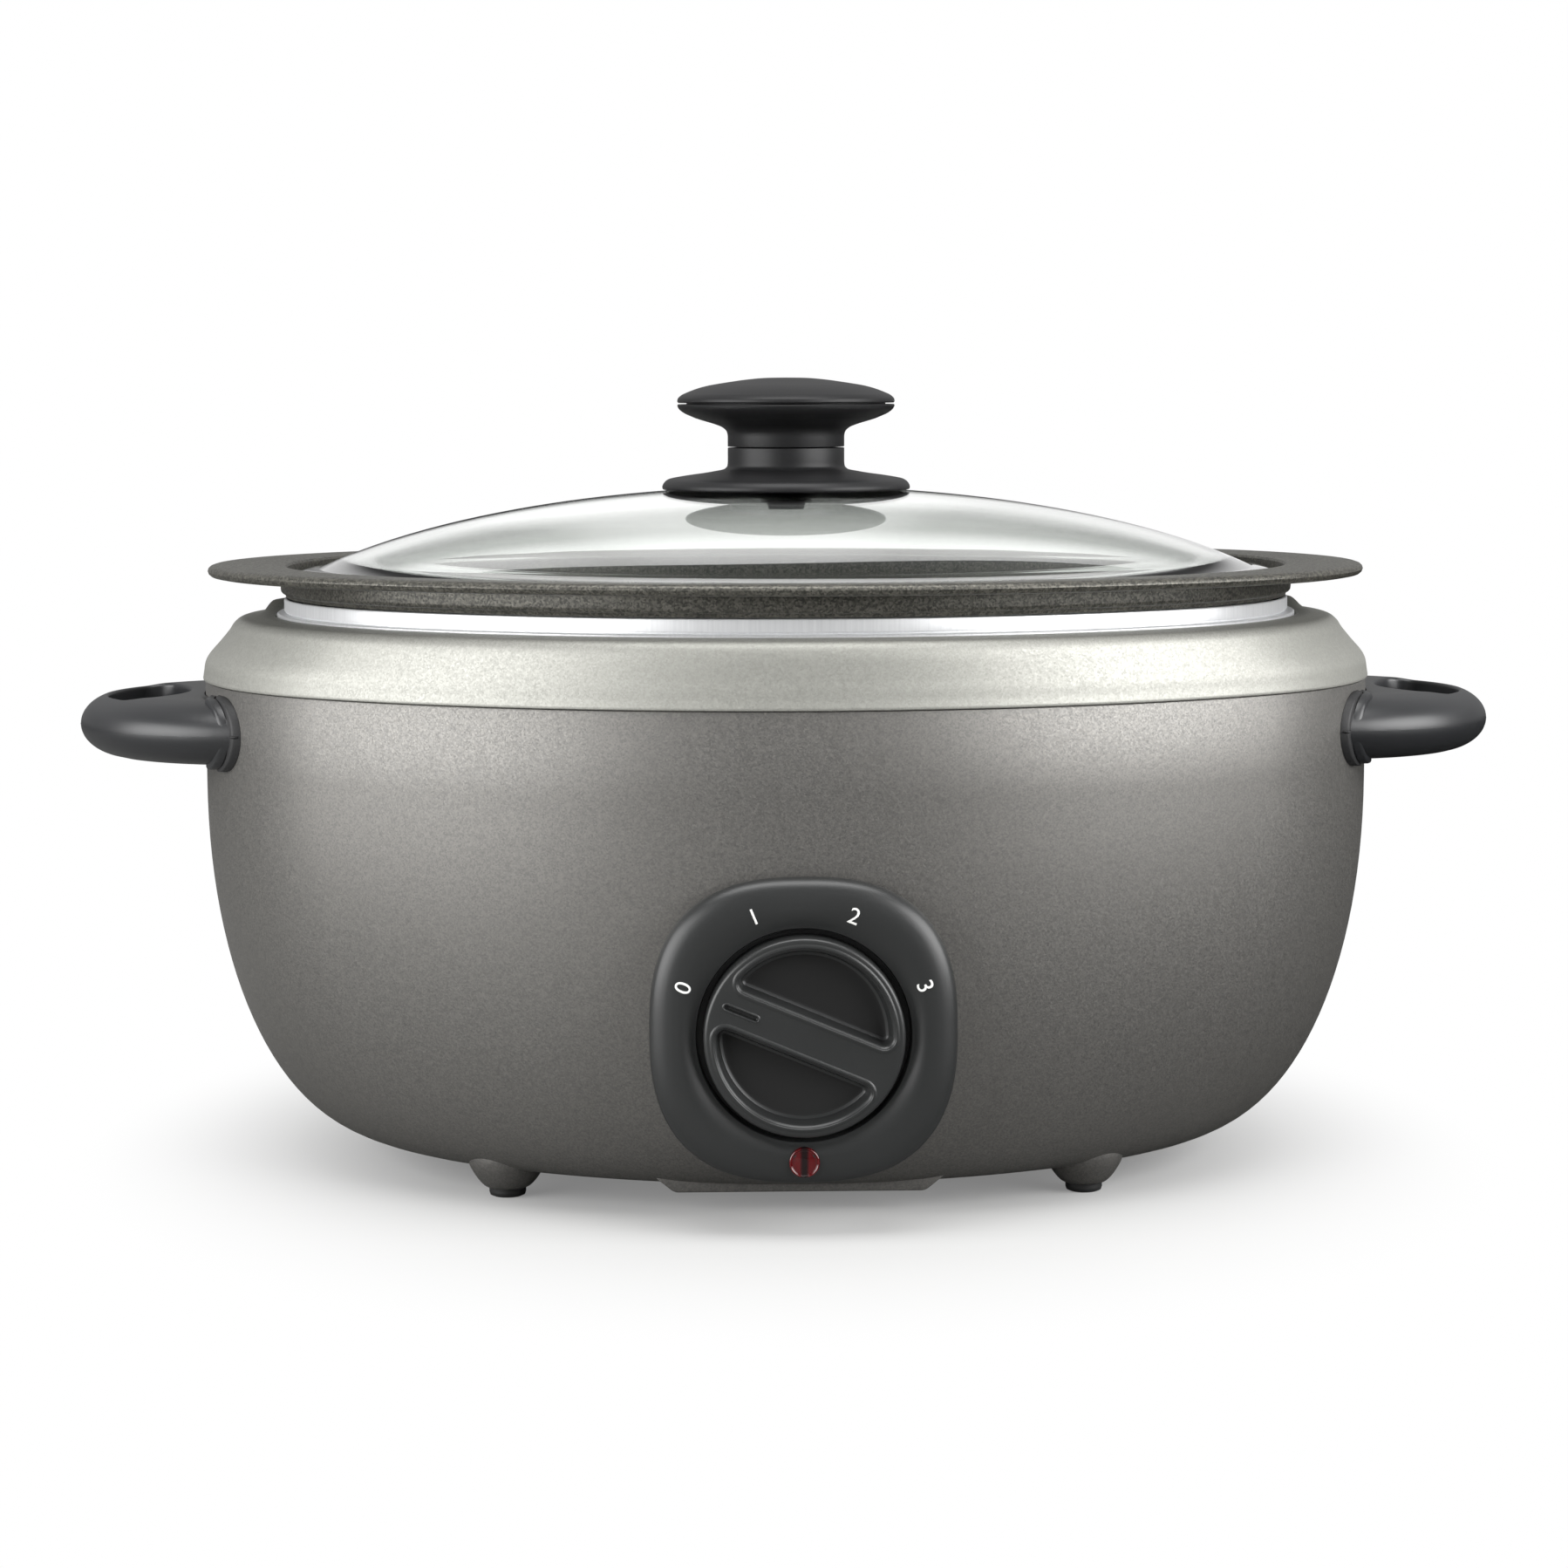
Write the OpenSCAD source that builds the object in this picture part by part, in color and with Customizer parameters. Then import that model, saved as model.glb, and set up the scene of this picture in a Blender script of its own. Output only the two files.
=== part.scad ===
// Oval slow cooker with a lift-out pot and a glass lid.
// Millimetres, +Z up, the front faces -Y, and the origin is on the table under the middle.

/* [Body] */
// Width of the body at the seam under the collar
body_w = 378; // [360:1:400]
// Depth of the body at the seam under the collar
body_d = 286; // [280:1:300]
// Height of the seam between body and collar
seam_h = 155; // [151:1:164]
// Height where the upright side starts to curve under
side_h = 123; // [112:1:126]
// How far the side comes in below, at each end
side_in = 54; // [50:0.5:58]
// How far the side comes in below, at the front and back
front_in = 30; // [26:0.5:34]
// Height of the flat underside above the table
under_h = 9; // [8:0.5:11]
// Wall of the moulded body
body_wall = 2.6; // [2:0.1:3]

/* [Collar] */
// How far the collar's skirt stands proud of the body
collar_proud = 0.7; // [0.3:0.1:1.5]
// Height of the collar's deck above the seam
collar_h = 20.8; // [18:0.2:26]
// Width of the sloping shoulder at each end
shoulder_w = 9.5; // [6:0.5:12]
// Height of the sloping shoulder at each end
shoulder_h = 12; // [8:0.5:14]
// Wall of the collar
collar_wall = 2.4; // [1.8:0.1:3]
// Width of the collar's deck, from its bore to the shoulder, at each end
deck_w = 13.5; // [11:0.5:16]
// Height of the raised deck along the back
back_rise = 3; // [1.5:0.5:5]

/* [Liner] */
// Gap between the liner and the collar's bore
liner_gap = 2.8; // [2:0.1:4]
// Height of the liner's rim above the deck
liner_rise = 5.4; // [4:0.2:8]
// Air gap between the pot's floor and the liner's
pot_air = 12; // [8:0.5:16]
// Thickness of the liner's sheet
liner_t = 1.2; // [0.8:0.1:1.6]
// How much the liner's wall leans in over its depth
liner_taper = 14; // [12:0.5:16]
// Height of the heating band
band_h = 34; // [20:1:40]

/* [Pot] */
// Width of the pot over its lips
pot_w = 379; // [366:1:396]
// Depth of the pot over its rim
pot_d = 286; // [280:1:296]
// Thickness of the flange and lips
flange_t = 4; // [3:0.1:5]
// Depth inside the pot, from the top of the flange
pot_depth = 130; // [110:1:131]
// Wall of the pot
pot_wall = 2.5; // [2:0.1:3]
// Height of the stepped band under the flange
step_h = 6.4; // [5:0.2:9]

/* [Lid] */
// Gap between the glass and the wall of its recess
lid_gap = 2.3; // [1:0.1:3]
// Depth of the recess that holds the glass
recess_h = 5; // [4:0.1:6]
// Height of the glass dome above its rim
dome_h = 25.8; // [18:0.2:34]
// Thickness of the glass
glass_t = 4; // [3:0.1:5]
// Radius of the lid knob
knob_r = 35.4; // [30:0.2:40]
// Radius of the knob's base disc
base_r = 40.4; // [36:0.2:46]
// Radius of the knob's neck
neck_r = 19; // [15:0.2:22]
// Height of the knob above the crown of the glass
knob_h = 35.3; // [34:0.1:44]

/* [Handles] */
// How far a handle stands out from the body's end
handle_reach = 41; // [38:0.5:48]
// Distance between the body's end and the finger hole
handle_root = 6; // [5:0.2:8]
// Distance along the body that each handle covers
handle_l = 120; // [110:1:130]
// Thickness of a handle
handle_t = 20.2; // [17:0.2:23]
// Depth of a handle's middle plane below the seam
handle_drop = 14.4; // [14:0.2:18]
// Length of the finger hole
finger_l = 60; // [52:1:66]
// Width of the finger hole
finger_w = 26; // [20:0.5:28]
// Thickness of the gasket behind a handle
gasket_t = 2.4; // [1.5:0.1:3]

/* [Controls] */
// Height of the dial's centre
dial_h = 60.5; // [59:0.5:64]
// Diameter of the dial
dial_d = 59; // [52:0.5:62]
// Ring gap between dial and bezel
dial_gap = 1.9; // [1:0.1:3]
// Width of the dial's grip bar
bar_w = 10.4; // [8:0.2:13]
// How far the dial stands in front of the bezel
dial_proud = 4; // [2:0.5:8]
// Width of the bezel
bezel_w = 90.5; // [88:0.5:98]
// Height of the bezel
bezel_h = 90.5; // [88:0.5:92]
// Height of the bezel's middle above the dial's centre
bezel_up = 1; // [0:0.5:2]
// Thickness of the bezel
bezel_t = 6; // [5:0.2:8]
// How far the panel block stands in front of the body
panel_out = 2; // [1:0.2:4]
// Diameter of the lamp lens
lamp_d = 9; // [7:0.1:9.4]
// Distance of the lamp below the dial's centre
lamp_drop = 37.3; // [37.2:0.1:38]
// Angle of the dial's pointer at rest, from the right
pointer_a = 157.5; // [135:0.5:180]

/* [Base] */
// Distance between left and right feet
feet_x = 179; // [160:1:184]
// Distance between front and back feet
feet_y = 167; // [150:1:170]
// Radius of a rubber foot pad
pad_r = 5.7; // [5:0.1:7]
// Height of a rubber foot pad
pad_h = 4.2; // [3:0.1:5]
// Width of the base plate
plate_w = 208; // [196:1:214]
// Depth of the base plate
plate_d = 136; // [128:1:140]
// Bore of the cord gland
gland_bore = 7.5; // [6:0.1:9]
// Height of the cord gland
gland_h = 60; // [56:0.5:66]
// Distance of the cord gland to the right of the middle
gland_x = 62; // [50:1:74]

/* [Hidden] */

round_fn = 128;
small_fn = 48;
seat = 0.3;          // gap where one body rests on another
slack = 0.3;         // gap round a piece that drops into a hole
run = 0.05;          // radial clearance of a turning shaft or a screw in its pilot
over = 1;            // how far a cutter runs past what it cuts

// body
body_a = body_w / 2;
body_b = body_d / 2;
floor_z = under_h + body_wall;

// collar
collar_a = body_a + collar_proud;
collar_b = body_b + collar_proud;
deck_z = seam_h + collar_h;
bore_a = collar_a - shoulder_w - deck_w - 0.6;
bore_b = collar_b - 11.2;
ledge_drop = 2.9;    // depth of the liner's ledge below the deck
ledge_t = 2.4;
ledge_z = deck_z - ledge_drop;
tongue_h = 8;        // skirt of the collar inside the body

// liner
liner_a = bore_a - liner_gap;
liner_b = bore_b - liner_gap + 0.3;
liner_top = deck_z + liner_rise;
liner_flange = liner_gap - 0.5;
corner_h = 20;       // height of the rounded corner at the liner's and the pot's floor
corner_in = 17;      // width of that corner
band_t = 2;

// pot
pot_a = pot_w / 2;
pot_b = pot_d / 2;
step_low = liner_top + seat;
flange_low = step_low + step_h;
flange_top = flange_low + flange_t;
step_a = liner_a + 1;
step_b = liner_b + 3;
recess_a = step_a - 2.2;
recess_b = step_b - 2.2;
ledge_top = flange_top - recess_h;
mouth_a = recess_a - 6.8;   // the pot's mouth is as far in all round

pot_floor = flange_top - pot_depth;
pot_taper = 17;
liner_low = pot_floor - pot_wall - pot_air - liner_t;
band_z = liner_low + corner_h + 18;

// lid
glass_a = recess_a - lid_gap;
glass_b = recess_b - lid_gap - 1.5;
glass_low = ledge_top + seat;
rim_w = 8;           // width of the glass's flat rim
rim_t = 3.4;
crown_z = glass_low + rim_t + dome_h;
dome_span = 1.217;   // half width of the full dome ellipse over the dome's own half width
dome_a = (glass_a - rim_w) * dome_span;
dome_rise = dome_h / (1 - sqrt(1 - pow(1 / dome_span, 2)));
hole_r = 4;
screw_r = 2.45;
knob_z = crown_z + 1.6;
knob_top = crown_z + knob_h;
split_z = crown_z + 12.9;
split_gap = 0.6;
parting_z = knob_top - 8.6;

// handles
handle_z = seam_h - handle_drop;
tip_x = body_a + handle_reach;
puck_x = tip_x - handle_l / 2;
nose = 14;           // width of the rounded nose in plan
foot_t = 2.4;        // flange at the handle's root
screw_y = handle_l / 2 - 17;

// controls
panel_y = -body_b - panel_out;
bezel_y = panel_y - bezel_t;
dial_y = bezel_y - dial_proud;
dial_r = dial_d / 2;
well_r = dial_r + dial_gap;
well_wall = 1.2;
well_floor = panel_y + 1.6;
well_t = 2;
dial_back = well_floor - 0.9;
pocket_floor = dial_y + 6.6;
shaft_r = 3;
bush_r = 4.75;
chin_hw = 38;        // half width of the chin's lower edge
chin_h = 2.4;        // how far it hangs below the body
chin_lean = 3;
chin_in = 29;
bezel_n = 2.6;       // exponent of the bezel's squarish oval
lamp_r = lamp_d / 2;
lamp_z = dial_h - lamp_drop;
switch_y = well_floor + well_t + 0.2;
switch_len = 19.2;
bezel_screw_x = 31;
bezel_screw_z = 25;

// rear
rear_y = -dial_y;
gland_pad_y = body_b + 0.6;
gland_boss = 4.6;    // length of the boss inside the wall

// ---------- shapes that repeat ----------

// An oval of half widths a and b is four arcs that run smoothly into each other.
// The end arcs have radius r about [c, 0], the side arcs radius r + hypot(c, d) about [0, -d],
// and they meet where their normal is at the angle turn.
end_share = 1.09;    // end radius as a share of an ellipse's own
function end_r(a, b) = end_share * b * b / a;
function end_c(a, b) = a - end_r(a, b);
function side_d(a, b) = let (c = end_c(a, b), e = b - end_r(a, b)) (c * c - e * e) / (2 * e);
function turn(a, b) = atan2(side_d(a, b), end_c(a, b));

// An upright oval block
module oval_block(a, b, z0, z1) {
    r = end_r(a, b);
    d = side_d(a, b);
    meet = end_c(a, b) + r * cos(turn(a, b));
    translate([0, 0, z0]) linear_extrude(z1 - z0) {
        for (s = [-1, 1]) translate([s * end_c(a, b), 0]) circle(r, $fn = round_fn);
        intersection() {
            square([2 * meet, 2 * b], center = true);
            translate([0, -d]) circle(b + d, $fn = 2 * round_fn);
            translate([0, d]) circle(b + d, $fn = 2 * round_fn);
        }
    }
}

// Points round the same oval at one height, for shapes lofted between ovals of different proportions
loft_n = 72;
function oval_ring(a, b, z) =
    let (r = end_r(a, b), c = end_c(a, b), d = side_d(a, b), t = turn(a, b))
    [for (i = [0 : loft_n - 1]) let (q = 360 * i / loft_n)
        abs(sin(q)) <= sin(t) ? [sign(cos(q)) * c + r * cos(q), r * sin(q), z]
            : [(b + d) * cos(q), (b + d) * sin(q) - sign(sin(q)) * d, z]];

// A skin over rings of points, with flat ends or run back from the last ring to the first
module loft(rings, closed = false) {
    n = len(rings[0]);
    m = len(rings);
    caps = closed ? [] : [[for (k = [0 : n - 1]) k], [for (k = [n - 1 : -1 : 0]) (m - 1) * n + k]];
    polyhedron([for (ring = rings) each ring], concat(caps,
        [for (i = [0 : closed ? m - 1 : m - 2], k = [0 : n - 1])
            let (p = i * n + k, q = i * n + (k + 1) % n, up = ((i + 1) % m - i) * n)
                [p, p + up, q + up, q]]));
}

// Rings for a profile of [distance in from the oval, height] points
function rings(a, b, profile) = [for (p = profile) oval_ring(a - p[0], b - p[0], p[1])];

// A quarter oval from an upright side at [r, z], going dr on to a level floor dz lower
function corner(r, z, dr, dz, steps) =
    [for (i = [0 : steps]) [r + dr * (1 - cos(90 * i / steps)), z - dz * sin(90 * i / steps)]];

// A flat outline in X and Z, drawn out from y0 to y1
module along_y(y0, y1) {
    translate([0, y1, 0]) rotate([90, 0, 0]) linear_extrude(y1 - y0) children();
}

// A round bar along Y, a round bar along X
module bar_y(r, y0, y1, x = 0, z = 0) {
    translate([x, y1, z]) rotate([90, 0, 0]) cylinder(r = r, h = y1 - y0, $fn = small_fn);
}
module bar_x(r, x0, x1, y = 0, z = 0) {
    translate([x0, y, z]) rotate([0, 90, 0]) cylinder(r = r, h = x1 - x0, $fn = small_fn);
}

// The squarish oval of the bezel, made smaller all round by inset
function bezel_outline(inset) = [for (i = [0 : 71]) let (c = cos(5 * i), s = sin(5 * i))
    [(bezel_w / 2 - inset) * sign(c) * pow(abs(c), 2 / bezel_n),
     dial_h + bezel_up + (bezel_h / 2 - inset) * sign(s) * pow(abs(s), 2 / bezel_n)]];

// Low block under the body with leaning ends, behind the bezel's lower edge
module chin() {
    along_y(-body_b + chin_in, -body_b + chin_in + 24)
        polygon([[-chin_hw - 2 * chin_lean, under_h + chin_h], [-chin_hw, under_h - chin_h],
            [chin_hw, under_h - chin_h], [chin_hw + 2 * chin_lean, under_h + chin_h]]);
}

// ---------- body ----------

// The body's outside, or its inside for a wall
curve_n = 1.05;      // a little squarer than a quarter oval
module body_form(wall, z_top) {
    steps = 9;
    a = body_a - wall;
    b = body_b - wall;
    z_low = under_h + wall;
    loft(concat(
        [for (i = [steps : -1 : 0])
            let (p = 90 * i / steps, in = 1 - pow(cos(p), 1 / curve_n), down = pow(sin(p), 1 / curve_n))
            oval_ring(a - side_in * in, b - front_in * in, side_h - (side_h - z_low) * down)],
        [oval_ring(a, b, z_top)]));
}

// How far in the curve has come at a height, as a share of side_in and front_in
function curve_in(z) = let (t = pow(max(0, side_h - z) / (side_h - under_h), curve_n))
    1 - pow(sqrt(1 - t * t), 1 / curve_n);
// Where the outside of the long wall is, x from the middle and at a height
function side_y(x, z) =
    let (a = body_a - side_in * curve_in(z), b = body_b - front_in * curve_in(z), d = side_d(a, b))
    sqrt(pow(b + d, 2) - x * x) - d;

module each_foot() {
    for (sx = [-1, 1], sy = [-1, 1]) translate([sx * feet_x / 2, sy * feet_y / 2, 0]) children();
}

plate_t = 2.2;
plate_top = under_h - 0.05;
plate_screws = [[plate_w / 2 - 8, 0], [8 - plate_w / 2, 0], [0, plate_d / 2 - 8], [0, 8 - plate_d / 2]];
plate_screw_r = 1.5;

module outer_shell() {
    color([0.36, 0.35, 0.34])
    difference() {
        union() {
            difference() {
                union() {
                    body_form(0, seam_h);
                    along_y(panel_y, -body_b * 0.6) polygon(bezel_outline(2));
                    chin();
                    each_foot() foot_boss();
                    bar_y(13, body_b * 0.8, gland_pad_y, gland_x, gland_h);
                }
                body_form(body_wall, seam_h + over);
                along_y(panel_y + body_wall, -body_b * 0.5) polygon(bezel_outline(2 + body_wall));
            }
            for (p = plate_screws) translate([p[0], p[1], under_h]) cylinder(r = 4.2, h = 9, $fn = small_fn);
            for (s = [-1, 1], y = [-1, 1]) handle_boss(s, y * screw_y);
            bar_y(gland_r + 5, gland_nut_y, body_b * 0.93, gland_x, gland_h);
        }
        // mouth for the base plate, a narrow ledge is left round it
        oval_block(plate_w / 2 - 16, plate_d / 2 - 16, under_h - over, floor_z + over);
        for (p = plate_screws) translate([p[0], p[1], under_h - over])
            cylinder(r = plate_screw_r + run, h = 9, $fn = small_fn);
        each_foot() translate([0, 0, pad_h - over])
            cylinder(r = pad_stem_r + run, h = 6 + over, $fn = small_fn);
        // way through the panel for the dial's well and the lamp
        bar_y(well_r + well_wall + slack, panel_y - over, panel_y + body_wall + over, 0, dial_h);
        bar_y(clip_r + run, panel_y - over, panel_y + body_wall + over, 0, lamp_z);
        bar_y(holder_r + slack, panel_y - over, holder_end + 4, 0, lamp_z);
        for (x = [-1, 1], z = [-1, 1]) bar_y(1.6, panel_y - over, panel_y + body_wall + over,
            x * bezel_screw_x, dial_h + z * bezel_screw_z);
        bar_y(gland_r + slack, gland_nut_y - over, gland_pad_y + over, gland_x, gland_h);
        for (s = [-1, 1], y = [-1, 1]) mirror([s < 0 ? 1 : 0, 0, 0])
            bar_x(handle_screw_r + 0.3, handle_boss_x - over, body_a, y * screw_y, handle_z);
    }
}

pad_stem_r = 2.4;
boss_top_r = 12.5;
module foot_boss() {
    translate([0, 0, pad_h]) cylinder(r1 = pad_r, r2 = boss_top_r, h = under_h + 1.5 - pad_h, $fn = small_fn);
    translate([0, 0, under_h + 1.4]) cylinder(r = boss_top_r, h = 9, $fn = small_fn);
}

handle_screw_r = 2;
// where the body's wall is, at the height of the handles, for a distance along Y
function wall_x(y, out) = (body_a + out) * sqrt(1 - pow(y / (body_b + out), 2));
handle_boss_x = wall_x(screw_y, -body_wall) - 4;
module handle_boss(s, y) {
    mirror([s < 0 ? 1 : 0, 0, 0]) bar_x(5.4, handle_boss_x, handle_boss_x + 4.3, y, handle_z);
}

// ---------- collar ----------

// The deck is raised along the back, with a ramp at each end
lip_w = 6;
ramp_y = 6;          // where the ramps start behind the middle
ramp_l = 18;
function raised(ring) = [for (p = ring)
    [p[0], p[1], p[2] + back_rise * min(1, max(0, (p[1] - ramp_y) / ramp_l))]];

// Outside of the collar from the skirt over the shoulder to the bore, then the ledge that carries
// the liner, the underside, and the tongue that drops inside the body's wall
collar_rings = let (
        w = collar_wall,
        tongue = body_wall + slack + collar_proud,
        top = deck_z - w)
    [oval_ring(collar_a, collar_b, seam_h),
    oval_ring(collar_a - 0.7, collar_b - 0.6, deck_z - shoulder_h - 3.5),
    oval_ring(collar_a - 2.2, collar_b - 0.9, deck_z - shoulder_h - 0.5),
    oval_ring(collar_a - shoulder_w, collar_b - 1.6, deck_z - 4.2),
    oval_ring(collar_a - shoulder_w - 2.6, collar_b - 3.4, deck_z - 2),
    oval_ring(bore_a + lip_w, bore_b + lip_w, deck_z - 0.4),
    raised(oval_ring(bore_a + lip_w - 0.5, bore_b + lip_w - 0.5, deck_z)),
    raised(oval_ring(bore_a + 0.6, bore_b + 0.6, deck_z)),
    raised(oval_ring(bore_a, bore_b, deck_z - 0.6)),
    oval_ring(bore_a, bore_b, ledge_z),
    oval_ring(liner_a + 0.6, liner_b + 0.6, ledge_z),
    oval_ring(liner_a + 0.6, liner_b + 0.6, ledge_z - ledge_t),
    oval_ring(bore_a + 2.2, bore_b + 2.2, ledge_z - ledge_t),
    oval_ring(bore_a + 2.2, bore_b + 2.2, top),
    oval_ring(collar_a - shoulder_w - 2.6 - w, collar_b - 3.4 - w, top - 2),
    oval_ring(collar_a - shoulder_w - w, collar_b - 1.6 - w, top - 3.4),
    oval_ring(collar_a - 2.2 - w, collar_b - 0.9 - w, deck_z - shoulder_h - 1.5),
    oval_ring(collar_a - tongue - 2, collar_b - tongue - 2, seam_h + 3),
    oval_ring(collar_a - tongue - 2, collar_b - tongue - 2, seam_h - tongue_h),
    oval_ring(collar_a - tongue, collar_b - tongue, seam_h - tongue_h),
    oval_ring(collar_a - tongue, collar_b - tongue, seam_h)];

module collar_ring() {
    color([0.78, 0.77, 0.73]) loft(collar_rings, true);
}

// ---------- liner, heater and what hangs under it ----------

// How far the liner's wall has come in at a height
function liner_in(z) = liner_taper * (ledge_z - z) / (ledge_z - liner_low - corner_h);

module heating_liner() {
    outer = corner(liner_taper, liner_low + corner_h, corner_in, corner_h, 6);
    inner = corner(liner_taper + liner_t, liner_low + corner_h, corner_in, corner_h - liner_t, 6);
    color([0.86, 0.87, 0.88])
    loft(rings(liner_a, liner_b, concat([for (i = [6 : -1 : 0]) outer[i]],
        [[0, ledge_z], [-liner_flange, ledge_z], [-liner_flange, ledge_z + 1.2], [0, ledge_z + 1.2],
            [0, liner_top], [liner_t, liner_top], [liner_t, ledge_z]], inner)));
}

// Mica and steel band strapped round the liner's wall
band_gap = 0.3;
module heater_band() {
    low = liner_in(band_z) - band_gap;
    high = liner_in(band_z + band_h) - band_gap;
    color([0.62, 0.6, 0.55])
    difference() {
        loft(rings(liner_a, liner_b, [[low, band_z], [low - band_t, band_z],
            [high - band_t, band_z + band_h], [high, band_z + band_h]]), true);
        // the strap's ends leave a gap at the back
        translate([-2, 0, band_z - over]) cube([4, body_b, band_h + 2 * over]);
    }
}

// Two ears and a bolt that pull the band's ends together
band_front = liner_b - liner_in(band_z + 9) + band_gap + band_t;
clamp_z = band_z + band_h / 2;
ear_h = 14;
band_back = liner_b - liner_in(clamp_z + ear_h / 2) + band_gap + band_t;
module band_clamp() {
    ear = 1.5;
    color([0.7, 0.7, 0.72]) {
        difference() {
            for (s = [-1, 1]) translate([s * 6 - ear / 2, band_back + run, clamp_z - ear_h / 2])
                cube([ear, 11, ear_h]);
            bar_x(2.1, -10, 10, band_back + 6.5, clamp_z);
        }
        bar_x(2, -11, 11, band_back + 6.5, clamp_z);
        for (x = [-11.8, 6.9]) bar_x(3.8, x, x + 4.9, band_back + 6.5, clamp_z);
    }
}

fuse_x = -52;
// Thermal cut-out held against the liner's floor by its strap
module thermal_fuse() {
    color([0.85, 0.82, 0.72]) {
        bar_y(3.2, -9, 9, fuse_x, liner_low - 3.5);
        translate([fuse_x - 9, -2, liner_low - 1.2]) cube([18, 4, 0.9]);
    }
}

stud_r = 2.5;
module centre_stud() {
    low = under_h - plate_t - 4.2;
    color([0.7, 0.7, 0.72])
    union() {
        translate([0, 0, low]) cylinder(r = stud_r, h = liner_low - 1.8 - low, $fn = small_fn);
        translate([0, 0, liner_low - 2.1]) cylinder(r = 9, h = 2, $fn = small_fn);
        // shoulder that holds the base plate up against the liner
        translate([0, 0, under_h]) cylinder(r = 4.5, h = liner_low - 2 - under_h, $fn = small_fn);
    }
}

module centre_nut() {
    nut_h = 3.4;
    color([0.7, 0.7, 0.72])
    difference() {
        translate([0, 0, under_h - plate_t - 0.1 - nut_h]) cylinder(r = 4.6, h = nut_h, $fn = 6);
        translate([0, 0, 0]) cylinder(r = stud_r + run, h = under_h, $fn = small_fn);
    }
}

// ---------- base ----------

module base_plate() {
    color([0.12, 0.12, 0.12])
    difference() {
        oval_block(plate_w / 2, plate_d / 2, plate_top - plate_t, plate_top);
        for (p = plate_screws) translate([p[0], p[1], under_h - plate_t - over])
            cylinder(r = plate_screw_r + 0.2, h = plate_t + 2 * over, $fn = small_fn);
        translate([0, 0, under_h - plate_t - over])
            cylinder(r = stud_r + 0.2, h = plate_t + 2 * over, $fn = small_fn);
        // slots that let warm air out of the body
        for (s = [-1, 1], i = [0 : 5]) translate([s * (34 + 7 * i) - 1.2, -18, under_h - plate_t - over])
            cube([2.4, 36, plate_t + 2 * over]);
    }
}

module base_screws() {
    color([0.6, 0.6, 0.62])
    for (p = plate_screws) translate([p[0], p[1], plate_top - plate_t]) {
        translate([0, 0, -2]) cylinder(r = 3.1, h = 1.95, $fn = small_fn);
        translate([0, 0, -0.1]) cylinder(r = plate_screw_r, h = 9.4, $fn = small_fn);
    }
}

module foot_pads() {
    color([0.08, 0.08, 0.08])
    each_foot() rotate_extrude($fn = small_fn) polygon([[0, 0], [pad_r - 1.2, 0], [pad_r - 0.3, 0.4],
        [pad_r, 1.3], [pad_r, pad_h - 0.05], [pad_stem_r, pad_h - 0.05], [pad_stem_r, pad_h + 5],
        [0, pad_h + 5]]);
}

block_x = 34;
block_back = feet_y / 2 - 3;   // back face of the terminal block
module terminal_block() {
    color([0.85, 0.84, 0.8])
    difference() {
        translate([-block_x - 15, block_back - 15, floor_z + 0.05]) cube([30, 15, 13]);
        for (i = [-1, 0, 1]) bar_y(1.9, block_back - 16, block_back + over, -block_x + 9 * i, floor_z + 6);
    }
}

gland_r = 6.4;
// seat of the gland's locknut on the boss inside the wall
gland_nut_y = side_y(gland_x, gland_h) - body_wall - gland_boss;
module cord_gland() {
    color([0.1, 0.1, 0.1])
    difference() {
        union() {
            bar_y(gland_r, gland_nut_y - 6, rear_y, gland_x, gland_h);
            bar_y(gland_r + 3.4, gland_pad_y + 0.05, gland_pad_y + 3.6, gland_x, gland_h);
        }
        bar_y(gland_bore / 2, gland_nut_y - 7, rear_y + over, gland_x, gland_h);
    }
}

// Locknut drawn up behind the body's wall
module gland_nut() {
    color([0.15, 0.15, 0.15])
    difference() {
        bar_y(gland_r + 3.2, gland_nut_y - 5, gland_nut_y - 0.2, gland_x, gland_h);
        bar_y(gland_r + run, gland_nut_y - 6, gland_nut_y + over, gland_x, gland_h);
    }
}

// ---------- controls ----------

module control_bezel() {
    color([0.2, 0.2, 0.21])
    difference() {
        union() {
            // the front edge is rolled over in steps
            for (e = [[0, 0, 2.4], [0.6, 2.4, 4], [1.9, 4, 5.1], [4, 5.1, 6]])
                along_y(panel_y - e[2] * bezel_t / 6, panel_y - e[1] * bezel_t / 6)
                    polygon(bezel_outline(e[0]));
            bar_y(well_r + well_wall, panel_y - 1, well_floor + well_t, 0, dial_h);
        }
        bar_y(well_r, bezel_y - over, well_floor, 0, dial_h);
        bar_y(bush_r + 0.2, bezel_y - over, well_floor + well_t + over, 0, dial_h);
        bar_y(lamp_r + 0.15, bezel_y - over, panel_y + over, 0, lamp_z);
        for (x = [-1, 1], z = [-1, 1]) bar_y(bezel_screw_r + run, bezel_y + 1.6, panel_y + over,
            x * bezel_screw_x, dial_h + z * bezel_screw_z);
    }
}

bezel_screw_r = 1.35;
module bezel_screws() {
    color([0.6, 0.6, 0.62])
    for (x = [-1, 1], z = [-1, 1]) {
        back = panel_y + body_wall;
        bar_y(bezel_screw_r, bezel_y + 1.8, back + 1, x * bezel_screw_x, dial_h + z * bezel_screw_z);
        bar_y(2.8, back + 0.05, back + 2.2, x * bezel_screw_x, dial_h + z * bezel_screw_z);
    }
}

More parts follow.
